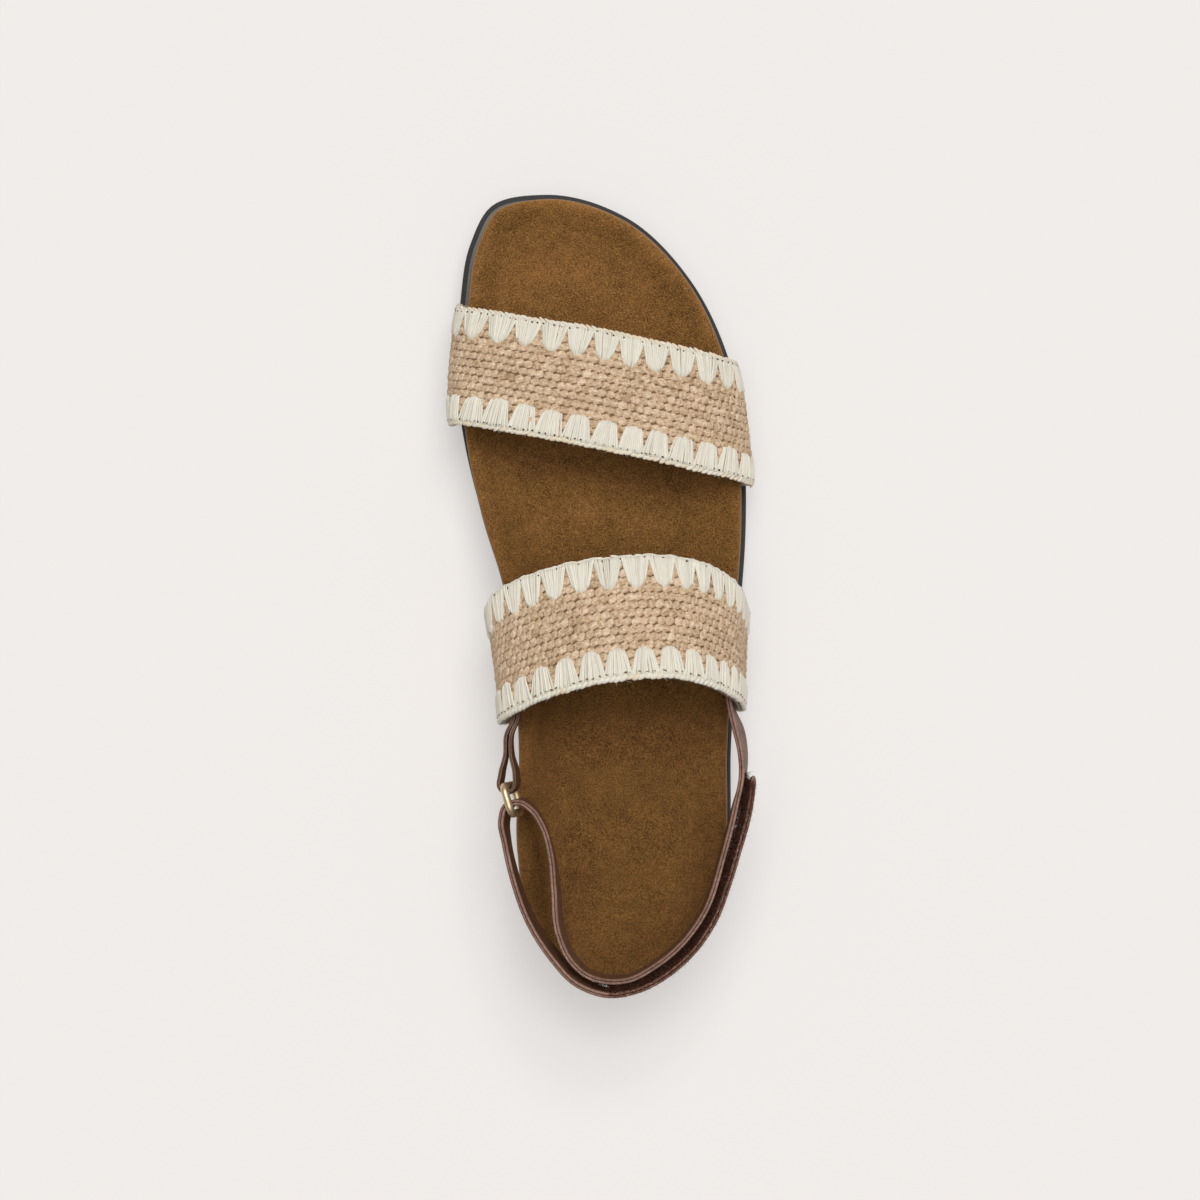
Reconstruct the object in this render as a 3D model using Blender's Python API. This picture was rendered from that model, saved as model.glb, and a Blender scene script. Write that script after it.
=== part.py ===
"""A right-foot cork footbed sandal: two woven straps, a leather heel strap and a brass ring.

Sizes are in millimetres until place() turns them into metres. "Across" runs from the inner
(big toe) side to the outer side, "along" from the heel end to the toe, "up" from the floor.
"""

import math

import bmesh
import bpy
import numpy as np
from mathutils import Matrix, Vector

MM = 0.001
GAP = 0.3

# The middle of the whole sandal's box, which is the model's origin
CENTRE_ACROSS = 0.16
CENTRE_ALONG = 123.66

# Sole plan, one row for each landmark of the last, from the toe tip round the inner side.
# Ledge is how far the sole stands out beyond the footbed.
SOLE_PLAN = (
    # across, along, ledge
    (-17.5, 247.8, 2.0),
    (-34.4, 244.0, 2.8),
    (-40.8, 232.4, 2.8),
    (-44.1, 213.5, 2.7),
    (-45.4, 190.0, 2.0),
    (-42.8, 170.6, 0.9),
    (-36.6, 145.5, 0.1),
    (-30.2, 125.0, 0.0),
    (-26.6, 100.0, 0.0),
    (-25.2, 72.0, 0.0),
    (-25.7, 42.0, 0.0),
    (-20.0, 15.3, 0.2),
    (6.9, 0.0, 0.5),
    (33.6, 15.3, 0.9),
    (40.2, 42.0, 1.3),
    (41.2, 75.0, 1.5),
    (43.8, 113.0, 1.7),
    (45.9, 143.0, 1.7),
    (45.8, 163.0, 1.8),
    (40.8, 195.9, 1.6),
    (28.5, 221.2, 1.4),
    (9.2, 240.2, 1.7),
)
RING_POINTS = 56
# Share of the way to the edge where the tread's flat field and the sole's flat top begin
SOLE_FIELD = 0.55

# Underside: flat under heel and ball, hollow at the waist, sprung at the toe
TREAD = (
    # along, up
    (0.0, 3.0),
    (18.0, 0.0),
    (84.0, 0.0),
    (98.0, 1.6),
    (118.0, 1.6),
    (134.0, 0.0),
    (186.0, 0.0),
    (215.0, 2.6),
    (248.0, 9.0),
)

# Heights of the sole's top, of the footbed's middle and of its two rims
BED = (
    # along, sole top, middle, inner rim, outer rim
    (0.0, 21.0, 30.0, 35.0, 35.0),
    (16.0, 20.6, 27.6, 35.2, 35.0),
    (38.0, 20.0, 26.4, 35.6, 34.2),
    (70.0, 18.6, 26.0, 37.6, 32.4),
    (105.0, 16.4, 25.0, 38.6, 30.4),
    (140.0, 13.6, 21.6, 30.6, 26.8),
    (175.0, 12.2, 19.0, 25.2, 24.6),
    (205.0, 13.4, 19.4, 25.0, 25.0),
    (230.0, 16.4, 22.0, 27.2, 27.2),
    (248.0, 19.6, 25.0, 29.6, 29.6),
)

# The footbed's middle line, from the heel seat to the toe seat
HEEL_SEAT = (7.0, 34.0)
TOE_SEAT = (-6.0, 204.0)

# Soft rises of the footbed: a pad behind the ball and a grip under the toes
BED_RISES = (
    # across, along, height, reach across, reach along
    (2.0, 146.0, 2.2, 17.0, 19.0),
    (-4.0, 200.0, 1.4, 30.0, 8.0),
)

# The sole's side, from the tread to the ledge
SOLE_SIDE = (
    # share of the wall's height, inset
    (0.0, 3.0),
    (0.16, 0.6),
    (0.44, 0.0),
    (0.50, 0.9),
    (0.56, 0.0),
    (0.90, 0.0),
    (1.0, 0.9),
)
TREAD_GROOVE_WIDTH = 2.2
TREAD_GROOVE_DEPTH = 1.3
FOREFOOT_GROOVES = (143.0, 9.0, 9)
HEEL_GROOVES = (24.0, 9.0, 7)

SUEDE = 1.3
BED_GAP = 0.5
SUEDE_LIP = 3.2
SUEDE_RIM = (
    # inset from the footbed's edge, below the rim
    (1.8, 0.0),
    (0.3, 1.0),
    (0.0, SUEDE_LIP),
    (SUEDE, SUEDE_LIP),
    (2.0, SUEDE),
)
CORK_FOOT = (
    # inset from the footbed's edge, above the sole
    (1.2, 0.0),
    (0.2, 1.2),
)
CORK_RIM = (
    # inset from the footbed's edge, below the rim
    (0.0, SUEDE_LIP + GAP),
    (SUEDE + GAP, SUEDE_LIP + GAP),
    (2.2, SUEDE + BED_GAP),
)
# The footbed's side slope, in shares of the way from its middle line to its edge
SLOPE_FOOT = 0.50
SLOPE_HEAD = 0.96
BED_SHARES = (0.90, 0.80, 0.68, 0.54, 0.28)

# Woven straps: the wall's middle at its front and rear edges, from the inner to the outer side
STRAP_WALL = 2.2
STRAP_TUCK = 6.0
# Where the strap turns up out of its slot: how far in from the edge, and how high
STRAP_TURN_INSET = 1.2
STRAP_TURN_HEIGHT = 2.4
SLOT_ROOM = 2.0 * GAP
# Stitched teeth of both edges; depth is a share of the strap's width, hem one of the depth
TOOTH_PITCH = 8.6
TOOTH_SECTIONS = 3
TOOTH_DEPTH = 0.25
TOOTH_STEPS = (0.0, 0.18, 0.52, 0.88)
TOOTH_HEM = 0.2
TOOTH_RISE = 0.8
WEAVE_ROWS = 4
WEAVE_RISE = 0.5
LINING_POINTS = 5
TOE_STRAP = {
    "name": "toe_strap",
    # Foot along the sole, then how far out, how high and how far forward of it the side bulges
    "inner side": ((213.0, 0.4, 25.0, -0.6), (176.0, 2.0, 27.0, -0.2)),
    "outer side": ((194.5, 0.2, 23.5, -0.2), (156.5, 0.9, 23.5, -0.2)),
    "front": (
        # across, along, up
        (-41.2, 211.4, 35.6),
        (-33.0, 210.0, 40.6),
        (-17.3, 207.2, 43.6),
        (0.3, 204.4, 44.4),
        (16.0, 200.9, 43.4),
        (29.6, 198.0, 39.8),
        (38.0, 195.8, 33.4),
    ),
    "rear": (
        (-43.4, 175.0, 37.4),
        (-35.0, 173.6, 43.4),
        (-20.0, 170.8, 47.4),
        (-1.7, 167.2, 48.6),
        (15.4, 163.7, 47.2),
        (31.0, 160.1, 42.4),
        (41.6, 157.9, 34.2),
    ),
}
INSTEP_STRAP = {
    "name": "instep_strap",
    "inner side": ((115.0, 4.2, 37.0, 4.0), (82.0, 3.1, 40.0, 0.8)),
    "outer side": ((116.0, 0.1, 34.0, 4.6), (86.0, 1.6, 38.0, 1.6)),
    "front": (
        (-31.8, 122.8, 47.4),
        (-23.6, 127.4, 56.4),
        (-10.5, 131.4, 62.6),
        (6.0, 133.8, 65.2),
        (18.0, 134.2, 63.8),
        (29.6, 132.4, 59.6),
        (39.4, 127.6, 50.4),
    ),
    "rear": (
        (-27.4, 84.8, 51.4),
        (-18.4, 89.4, 62.6),
        (-6.0, 93.6, 70.8),
        (8.0, 96.2, 75.0),
        (20.0, 96.8, 74.0),
        (30.6, 95.0, 67.2),
        (39.6, 91.0, 55.4),
    ),
}

# Heel strap: sewn inside the instep strap, round the heel, through the ring and back round
HEEL_STRAP_WIDTH = 14.0
HEEL_STRAP_THICKNESS = 1.8
HEEL_STRAP_SECTIONS = 60
HEEL_STRAP = (
    # across, along, up of the band's middle, and how far its top edge stands out
    (39.2, 103.0, 38.5, -0.2),
    (39.6, 93.0, 39.2, -0.3),
    (40.6, 87.0, 40.2, -0.5),
    (42.8, 80.5, 41.6, -1.2),
    (44.0, 74.5, 43.0, -1.0),
    (44.1, 67.0, 45.0, -0.6),
    (41.9, 58.0, 47.4, -0.1),
    (38.0, 43.4, 51.4, 0.1),
    (31.2, 24.2, 56.4, 0.1),
    (25.6, 16.6, 58.0, 0.1),
    (16.8, 9.2, 59.4, 0.1),
    (8.6, 5.0, 60.0, 0.1),
    (2.0, 4.7, 60.0, 0.2),
    (-4.0, 6.7, 59.6, 0.4),
    (-9.0, 11.7, 59.0, 0.6),
    (-12.2, 19.4, 57.6, 0.7),
    (-13.5, 32.0, 55.2, 0.6),
    (-15.0, 43.0, 52.8, 0.15),
    (-17.6, 51.4, 50.6, 0.05),
    (-20.6, 56.2, 49.0, 0.3),
    (-24.2, 58.6, 47.8, 0.8),
    (-27.8, 57.5, 47.4, 1.1),
    (-29.5, 52.6, 47.6, 1.0),
    (-28.8, 46.4, 48.6, 0.6),
    (-26.4, 36.0, 51.0, 0.6),
    (-20.7, 21.5, 55.2, 0.8),
    (-14.5, 12.4, 57.6, 1.0),
    (-6.7, 4.3, 59.6, 0.9),
    (2.6, 0.6, 60.4, 0.3),
    (11.4, 1.8, 60.2, 0.1),
    (20.6, 6.6, 59.4, 0.1),
    (29.3, 14.5, 58.0, 0.1),
    (35.0, 23.0, 56.2, 0.1),
    (39.2, 33.7, 53.8, 0.1),
    (42.3, 43.5, 51.4, 0.1),
    (45.5, 54.6, 48.4, 0.1),
    (47.4, 66.4, 45.4, 0.1),
)
# Knots of the heel strap's rows between which the hook-and-loop tape lies, on the returning run
TAPE_KNOTS = (28.0, 35.9)
TAPE_WIDTH = 11.0
TAPE_THICKNESS = 0.9
TAPE_SECTIONS = 16
# The line inside the heel that bands lean away from: across, and its two ends along
HEEL_MIDDLE = (7.0, 30.0, 100.0)

# Ring and the folded tab that holds it
RING_WIRE = 2.4
RING_FRONT_BAR = (-28.3, 63.4)
RING_REAR_BAR = (-25.7, 55.0)
RING_UP = 47.4
RING_LEAN = 1.1
RING_OPENING = 15.0
RING_CORNER = 2.4
TAB_WIDTH = 9.0
TAB_THICKNESS = 1.1
TAB_SECTIONS = 25
TAB = (
    # across, along, up, lean
    (-26.3, 88.0, 43.0, 0.0),
    (-26.75, 84.0, 43.5, 0.1),
    (-28.8, 79.0, 44.3, 0.3),
    (-28.95, 73.0, 45.4, 0.6),
    (-30.2, 67.0, 46.8, 1.0),
    (-30.4, 63.0, 47.4, 1.1),
    (-28.4, 61.2, 47.4, 1.1),
    (-26.2, 62.6, 47.4, 1.1),
    (-25.8, 67.0, 46.8, 1.0),
    (-27.2, 73.0, 45.4, 0.6),
    (-27.2, 79.0, 44.3, 0.3),
    (-25.3, 84.0, 43.5, 0.1),
    (-24.9, 88.0, 43.0, 0.0),
)


class SmoothPath:
    """A smooth curve through rows of numbers; the first columns, as many as axes, are its place."""

    def __init__(self, rows, axes, closed=False):
        self.knots = np.array(rows, float)
        if closed:
            self.knots = np.vstack([self.knots, self.knots[:1]])
        self.axes = axes
        self.steps = np.linalg.norm(np.diff(self.knots[:, :axes], axis=0), axis=1)
        slopes = np.diff(self.knots, axis=0) / self.steps[:, None]
        before, after = slopes[:-1], slopes[1:]
        near, far = self.steps[:-1, None], self.steps[1:, None]
        inner = (far * before + near * after) / (near + far)
        if closed:
            first, last = self.steps[0], self.steps[-1]
            ends = (first * slopes[-1] + last * slopes[0]) / (first + last)
            self.tangents = np.vstack([ends, inner, ends])
        else:
            self.tangents = np.vstack([slopes[0], inner, slopes[-1]])

    def at(self, knot):
        """The row at each knot number, which may lie between two knots."""
        knot = np.atleast_1d(np.asarray(knot, float))
        i = np.clip(knot.astype(int), 0, len(self.steps) - 1)
        t = (knot - i)[:, None]
        step = self.steps[i][:, None]
        start, end = self.knots[i], self.knots[i + 1]
        leave, arrive = self.tangents[i] * step, self.tangents[i + 1] * step
        bend = t * t * (3.0 - 2.0 * t)
        return start + (end - start) * bend + t * (1.0 - t) * ((1.0 - t) * leave - t * arrive)

    def evenly(self, first, last, count):
        """Knot numbers of count points, evenly spaced by length from one knot to another."""
        fine = np.linspace(first, last, 40 * int(last - first + 2))
        places = self.at(fine)[:, : self.axes]
        run = np.concatenate([[0.0], np.cumsum(np.linalg.norm(np.diff(places, axis=0), axis=1))])
        return np.interp(np.linspace(0.0, run[-1], count), run, fine)


def height_at(table, column, along):
    """A column of a table of heights, read along the sandal without overshooting its rows."""
    rows = np.array(table, float)
    stations, values = rows[:, 0], rows[:, column]
    steps = np.diff(stations)
    slopes = np.diff(values) / steps
    product, total = slopes[:-1] * slopes[1:], slopes[:-1] + slopes[1:]
    inner = np.where(product > 0.0, 2.0 * product / np.where(total == 0.0, 1.0, total), 0.0)
    tangents = np.concatenate([slopes[:1], inner, slopes[-1:]])
    along = np.clip(np.asarray(along, float), stations[0], stations[-1])
    i = np.clip(np.searchsorted(stations, along, side="right") - 1, 0, len(steps) - 1)
    t = (along - stations[i]) / steps[i]
    rise = values[i + 1] - values[i]
    curve = (1.0 - t) * tangents[i] - t * tangents[i + 1]
    return values[i] + rise * t * t * (3.0 - 2.0 * t) + t * (1.0 - t) * curve * steps[i]


def place(point):
    """A point of the last, in millimetres, as a place in the model, in metres."""
    across, along, up = point
    return Vector(((across - CENTRE_ACROSS) * MM, (along - CENTRE_ALONG) * MM, up * MM))


def finish(name, colour, roughness, metallic=0.0):
    material = bpy.data.materials.new(name)
    material.use_nodes = True
    shader = material.node_tree.nodes["Principled BSDF"]
    shader.inputs["Base Color"].default_value = (*colour, 1.0)
    shader.inputs["Roughness"].default_value = roughness
    shader.inputs["Metallic"].default_value = metallic
    return material


def add_object(name, data, material, parent):
    thing = bpy.data.objects.new(name, data)
    bpy.context.scene.collection.objects.link(thing)
    data.materials.append(material)
    thing.parent = parent
    return thing


def loft(name, rings, material, parent):
    """A solid skinned over closed rings of points, with its first and last rings filled."""
    bm = bmesh.new()
    loops = [[bm.verts.new(place(point)) for point in ring] for ring in rings]
    for lower, upper in zip(loops, loops[1:]):
        for i in range(len(lower)):
            bm.faces.new((lower[i - 1], lower[i], upper[i]))
            bm.faces.new((lower[i - 1], upper[i], upper[i - 1]))
    for end in (loops[0], loops[-1]):
        rim = [bm.edges.get(pair) for pair in zip(end, end[1:] + end[:1])]
        bmesh.ops.triangle_fill(bm, edges=rim, use_beauty=True)
    bmesh.ops.recalc_face_normals(bm, faces=bm.faces)
    if bm.calc_volume(signed=True) < 0.0:
        bmesh.ops.reverse_faces(bm, faces=bm.faces)
    mesh = bpy.data.meshes.new(name)
    bm.to_mesh(mesh)
    bm.free()
    mesh.shade_smooth()
    mesh.set_sharp_from_angle(angle=math.radians(40.0))
    return add_object(name, mesh, material, parent)


def make_cutter(thing):
    thing.hide_render = True
    thing.display_type = "WIRE"
    return thing


def cut(thing, cutter):
    boolean = thing.modifiers.new(cutter.name, "BOOLEAN")
    boolean.operation = "DIFFERENCE"
    boolean.solver = "EXACT"
    boolean.object = cutter
    boolean.use_self = True


class Plan:
    """The sole's plan as a closed ring of points, with its outward directions and its ledge."""

    def __init__(self, count):
        path = SmoothPath(SOLE_PLAN, axes=2, closed=True)
        knots = path.evenly(0.0, len(SOLE_PLAN), count + 1)[:-1]
        rows = path.at(knots)
        self.points, self.ledge = rows[:, :2], rows[:, 2]
        flow = np.roll(self.points, -1, axis=0) - np.roll(self.points, 1, axis=0)
        flow /= np.linalg.norm(flow, axis=1)[:, None]
        self.outward = np.column_stack([-flow[:, 1], flow[:, 0]])
        if np.sum(self.outward * (self.points - self.points.mean(axis=0))) < 0.0:
            self.outward = -self.outward

    def inset(self, distance):
        return self.points - self.outward * np.broadcast_to(distance, self.ledge.shape)[:, None]

    def bed_ring(self, share):
        """The footbed's edge drawn in towards its middle line, to that share of the way."""
        edge = self.inset(self.ledge)
        return middle_line(edge[:, 1]) * (1.0 - share) + edge * share


def middle_line(along):
    clipped = np.clip(along, HEEL_SEAT[1], TOE_SEAT[1])
    turn = (clipped - HEEL_SEAT[1]) / (TOE_SEAT[1] - HEEL_SEAT[1])
    return np.column_stack([HEEL_SEAT[0] + (TOE_SEAT[0] - HEEL_SEAT[0]) * turn, clipped])


def rim_height(points):
    """The rim's height beside each point: the inner rim, the outer rim, or between at the ends."""
    half_width = 30.0
    side = np.clip((points[:, 0] - middle_line(points[:, 1])[:, 0]) / half_width, -1.0, 1.0)
    inner = height_at(BED, 3, points[:, 1])
    outer = height_at(BED, 4, points[:, 1])
    return inner * (1.0 - side) / 2.0 + outer * (1.0 + side) / 2.0


def bed_height(points, share):
    """The footbed's top at points of its ring at that share of the way to its edge."""
    middle = height_at(BED, 2, points[:, 1])
    climb = min(1.0, max(0.0, (share - SLOPE_FOOT) / (SLOPE_HEAD - SLOPE_FOOT)))
    rise = math.sin(math.pi / 2.0 * climb) ** 2
    height = middle + (rim_height(points) - middle) * rise
    for across, along, up, reach_across, reach_along in BED_RISES:
        spread = ((points[:, 0] - across) / reach_across) ** 2
        spread += ((points[:, 1] - along) / reach_along) ** 2
        height += up * np.exp(-spread) * (1.0 - share) ** 0.5
    return height


def raised(plan_points, up):
    return np.column_stack([plan_points, np.broadcast_to(up, len(plan_points))])


def make_outsole(plan, material, parent):
    low = height_at(TREAD, 1, plan.points[:, 1])
    top = height_at(BED, 1, plan.points[:, 1])
    field = plan.bed_ring(SOLE_FIELD)
    rings = [raised(field, height_at(TREAD, 1, field[:, 1]))]
    for share, inset in SOLE_SIDE:
        rings.append(raised(plan.inset(inset), low + (top - low) * share))
    rings.append(raised(field, height_at(BED, 1, field[:, 1])))
    outsole = loft("outsole", rings, material, parent)
    cut(outsole, make_grooves(material, parent))
    return outsole


def make_grooves(material, parent):
    """Straight bars across the underside, which leave the tread's main lugs between them."""
    bm = bmesh.new()
    reach = 140.0
    for first, pitch, count in (FOREFOOT_GROOVES, HEEL_GROOVES):
        for number in range(count):
            along = first + pitch * number
            up = float(height_at(TREAD, 1, along))
            size = Vector((reach, TREAD_GROOVE_WIDTH, 2.0 * TREAD_GROOVE_DEPTH)) * MM
            bar = Matrix.Translation(place((0.0, along, up))) @ Matrix.Diagonal(size).to_4x4()
            bmesh.ops.create_cube(bm, size=1.0, matrix=bar)
    mesh = bpy.data.meshes.new("tread_grooves")
    bm.to_mesh(mesh)
    bm.free()
    return make_cutter(add_object("tread_grooves", mesh, material, parent))


def bed_layer(plan, shares, depth):
    """Rings of the footbed's top, or of a layer that lies that depth below it."""
    rings = []
    for share in shares:
        points = plan.bed_ring(share)
        rings.append(raised(points, bed_height(points, share) - depth))
    return rings


def make_suede(plan, material, parent):
    """The footbed's cover: over the top, round the rim and a little way down the side."""
    rim = rim_height(plan.inset(plan.ledge))
    rings = bed_layer(plan, BED_SHARES[::-1], 0.0)
    for inset, below in SUEDE_RIM:
        rings.append(raised(plan.inset(plan.ledge + inset), rim - below))
    rings += bed_layer(plan, BED_SHARES, SUEDE)
    return loft("suede_insole", rings, material, parent)


def make_cork(plan, material, parent):
    """The cork body between the sole and the suede, with a step for the suede's lip."""
    rim = rim_height(plan.inset(plan.ledge))
    floor = height_at(BED, 1, plan.points[:, 1]) + GAP
    under = plan.bed_ring(SOLE_FIELD)
    rings = [raised(under, height_at(BED, 1, under[:, 1]) + GAP)]
    for inset, above in CORK_FOOT:
        rings.append(raised(plan.inset(plan.ledge + inset), floor + above))
    for inset, below in CORK_RIM:
        rings.append(raised(plan.inset(plan.ledge + inset), rim - below))
    rings += bed_layer(plan, BED_SHARES, SUEDE + BED_GAP)
    return loft("cork_footbed", rings, material, parent)


def strap_foot(plan, inner_side, along):
    """Where a strap goes under the footbed: the edge point there and its outward direction."""
    edge = plan.inset(plan.ledge)
    on_side = (edge[:, 0] < middle_line(edge[:, 1])[:, 0]) == inner_side
    order = np.argsort(np.where(on_side, edge[:, 1], np.inf))[: int(on_side.sum())]
    rows = np.column_stack([edge, plan.outward])[order]
    across, out_across, out_along = (np.interp(along, rows[:, 1], rows[:, c]) for c in (0, 2, 3))
    return np.array([across, along]), np.array([out_across, out_along])


def strap_path(plan, strap, share):
    """One thread of a strap's wall, at a share of its width from the front edge to the rear one."""
    free = np.array(strap["front"]) * (1.0 - share) + np.array(strap["rear"]) * share
    ends = []
    for side in ("inner side", "outer side"):
        front, rear = np.array(strap[side])
        along, out, high, forward = front * (1.0 - share) + rear * share
        edge, outward = strap_foot(plan, side == "inner side", along)
        bulge_edge, bulge_outward = strap_foot(plan, side == "inner side", along + forward)
        up = float(height_at(BED, 1, along)) + GAP + STRAP_WALL / 2.0
        bend = GAP + STRAP_WALL / 2.0
        ends.append([
            (*(edge - outward * STRAP_TUCK), up),
            (*(edge - outward * STRAP_TURN_INSET), up),
            (*(edge + outward * bend), up + STRAP_TURN_HEIGHT),
            (*(bulge_edge + bulge_outward * (bend + out)), high),
        ])
    return SmoothPath([*ends[0], *free, *ends[1][::-1]], axes=3)


def strap_surface(plan, strap, shares):
    """Points of the wall's middle, by section and by thread, and their outward directions."""
    paths = [strap_path(plan, strap, share) for share in shares]
    last = len(paths[0].steps)
    free = paths[0].at(np.linspace(2.0, last - 2.0, 200))
    teeth = round(np.linalg.norm(np.diff(free, axis=0), axis=1).sum() / TOOTH_PITCH)
    tuck = np.linspace(0.0, 2.0, 5)[:-1]
    threads = []
    for path in paths:
        middle = path.evenly(2.0, last - 2.0, TOOTH_SECTIONS * teeth + 1)
        threads.append(path.at(np.concatenate([tuck, middle, last - tuck[::-1]])))
    points = np.stack(threads, axis=1)
    run = np.gradient(points, axis=0)
    spread = np.gradient(points, axis=1)
    outward = np.cross(spread, run)
    outward /= np.linalg.norm(outward, axis=2)[:, :, None]
    return points, outward, len(tuck)


def strap_relief(shares, sections, tuck):
    """How far the weave's rows and the stitched teeth of the edges stand above the wall."""
    weave_start, weave_end = TOOTH_DEPTH, 1.0 - TOOTH_DEPTH
    row = (shares - weave_start) / (weave_end - weave_start) * WEAVE_ROWS
    weave = np.where((shares >= weave_start) & (shares <= weave_end), np.sin(np.pi * row) ** 2, 0.0)
    from_edge = np.minimum(shares, 1.0 - shares) / TOOTH_DEPTH
    relief = np.zeros((sections, len(shares)))
    for section in range(tuck, sections - tuck):
        on_tooth = (section - tuck) % TOOTH_SECTIONS != 0
        tooth = np.where(from_edge < (1.0 - TOOTH_HEM / 4.0 if on_tooth else TOOTH_HEM), 1.0, 0.0)
        relief[section] = np.maximum(weave * WEAVE_RISE, tooth * TOOTH_RISE)
    return relief


def strap_shares():
    """Places across a strap's width: the teeth's steps, then a crest and a trough for each row."""
    edge = np.array(TOOTH_STEPS) * TOOTH_DEPTH
    weave = np.linspace(TOOTH_DEPTH, 1.0 - TOOTH_DEPTH, 2 * WEAVE_ROWS + 1)
    return np.concatenate([edge, weave, 1.0 - edge[::-1]])


def make_strap(plan, strap, material, parent):
    shares = strap_shares()
    points, outward, tuck = strap_surface(plan, strap, shares)
    relief = strap_relief(shares, len(points), tuck)
    outer = points + outward * (STRAP_WALL / 2.0 + relief)[:, :, None]
    inner = points - outward * STRAP_WALL / 2.0
    lining = np.linspace(len(shares) - 1, 0, LINING_POINTS).round().astype(int)
    rings = [np.vstack([face, back[lining]]) for face, back in zip(outer, inner)]
    return loft(strap["name"], rings, material, parent)


def make_strap_slots(plan, strap, material, parent):
    """The room that a strap's two tucked ends take in the cork, with the gap all round."""
    threads = 9
    points, outward, tuck = strap_surface(plan, strap, np.linspace(0.0, 1.0, threads))
    reach = tuck + 4
    slots = []
    for name, picked in (("inner", points[:reach]), ("outer", points[::-1][:reach])):
        facing = outward[:reach] if name == "inner" else outward[::-1][:reach]
        widen = picked[:, -1] - picked[:, 0]
        widen /= np.linalg.norm(widen, axis=1)[:, None]
        wide = picked.copy()
        wide[:, 0] -= widen * SLOT_ROOM
        wide[:, -1] += widen * SLOT_ROOM
        deeper = wide[0] - (wide[1] - wide[0]) * 0.8
        wide = np.concatenate([deeper[None], wide])
        facing = np.concatenate([facing[:1], facing])
        swell = facing * (STRAP_WALL / 2.0 + SLOT_ROOM)
        rings = [np.vstack([o, i[::-1]]) for o, i in zip(wide + swell, wide - swell)]
        slots.append(make_cutter(loft(f"{strap['name']}_{name}_slot", rings, material, parent)))
    return slots


def outward_from_heel(points):
    across, low, high = HEEL_MIDDLE
    middle = np.column_stack([np.full(len(points), across), np.clip(points[:, 1], low, high)])
    away = points[:, :2] - middle
    return away / np.linalg.norm(away, axis=1)[:, None]


def band_rings(rows, knots, width, thickness, offset=0.0):
    """Sections of a flat band on edge along a path, set off to its outer side by offset."""
    path = SmoothPath(rows, axes=3)
    sections = path.at(knots)
    nudge = 0.01
    flow = path.at(np.minimum(knots + nudge, len(rows) - 1))[:, :3]
    flow -= path.at(np.maximum(knots - nudge, 0.0))[:, :3]
    lean = sections[:, 3] / (HEEL_STRAP_WIDTH / 2.0)
    upward = np.column_stack([outward_from_heel(sections) * lean[:, None], np.sqrt(1.0 - lean**2)])
    side = np.cross(flow, upward)
    side /= np.linalg.norm(side, axis=1)[:, None]
    round_off = thickness / 4.0
    half, tall = thickness / 2.0, width / 2.0
    side_low, side_high, edge = round_off - tall, tall - round_off, half - round_off
    corners = (
        (half, side_low), (half, side_high), (edge, tall), (-edge, tall),
        (-half, side_high), (-half, side_low), (-edge, -tall), (edge, -tall),
    )
    return [
        [place_on + s * (out + offset) + u * rise for out, rise in corners]
        for place_on, s, u in zip(sections[:, :3], side, upward)
    ]


def make_heel_strap(material, parent):
    knots = SmoothPath(HEEL_STRAP, axes=3).evenly(0.0, len(HEEL_STRAP) - 1, HEEL_STRAP_SECTIONS)
    rings = band_rings(HEEL_STRAP, knots, HEEL_STRAP_WIDTH, HEEL_STRAP_THICKNESS)
    return loft("heel_strap", rings, material, parent)


def make_tape(material, parent):
    """Hook-and-loop tape between the two runs of the heel strap."""
    knots = SmoothPath(HEEL_STRAP, axes=3).evenly(*TAPE_KNOTS, TAPE_SECTIONS)
    offset = -(HEEL_STRAP_THICKNESS / 2.0 + GAP + TAPE_THICKNESS / 2.0)
    rings = band_rings(HEEL_STRAP, knots, TAPE_WIDTH, TAPE_THICKNESS, offset)
    return loft("closure_tape", rings, material, parent)


def make_tab(material, parent):
    knots = SmoothPath(TAB, axes=3).evenly(0.0, len(TAB) - 1, TAB_SECTIONS)
    return loft("ring_tab", band_rings(TAB, knots, TAB_WIDTH, TAB_THICKNESS), material, parent)


def make_ring(material, parent):
    """A rectangular wire ring with round corners, standing on edge and leaning out with the strap."""
    front, rear = np.array(RING_FRONT_BAR), np.array(RING_REAR_BAR)
    middle, run = (front + rear) / 2.0, rear - front
    half_length = np.linalg.norm(run) / 2.0
    run = np.array([*run / np.linalg.norm(run), 0.0])
    half_height = (RING_OPENING + RING_WIRE) / 2.0
    lean = RING_LEAN / (HEEL_STRAP_WIDTH / 2.0)
    outward = outward_from_heel(middle[None])[0]
    upward = np.array([*outward * lean, math.sqrt(1.0 - lean**2)])
    corner_turns = 4
    curve = bpy.data.curves.new("brass_ring", "CURVE")
    curve.dimensions = "3D"
    curve.bevel_depth = RING_WIRE / 2.0 * MM
    curve.bevel_resolution = 2
    spline = curve.splines.new("POLY")
    spline.points.add(4 * (corner_turns + 1) - 1)
    spline.use_cyclic_u = True
    for quarter, (sign_run, sign_up) in enumerate(((1, 1), (-1, 1), (-1, -1), (1, -1))):
        for step in range(corner_turns + 1):
            angle = math.radians(90.0) * (quarter + step / corner_turns)
            out = sign_run * (half_length - RING_CORNER) + RING_CORNER * math.cos(angle)
            rise = sign_up * (half_height - RING_CORNER) + RING_CORNER * math.sin(angle)
            spot = np.array([*middle, RING_UP]) + run * out + upward * rise
            spline.points[quarter * (corner_turns + 1) + step].co = (*place(spot), 1.0)
    return add_object("brass_ring", curve, material, parent)


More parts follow.
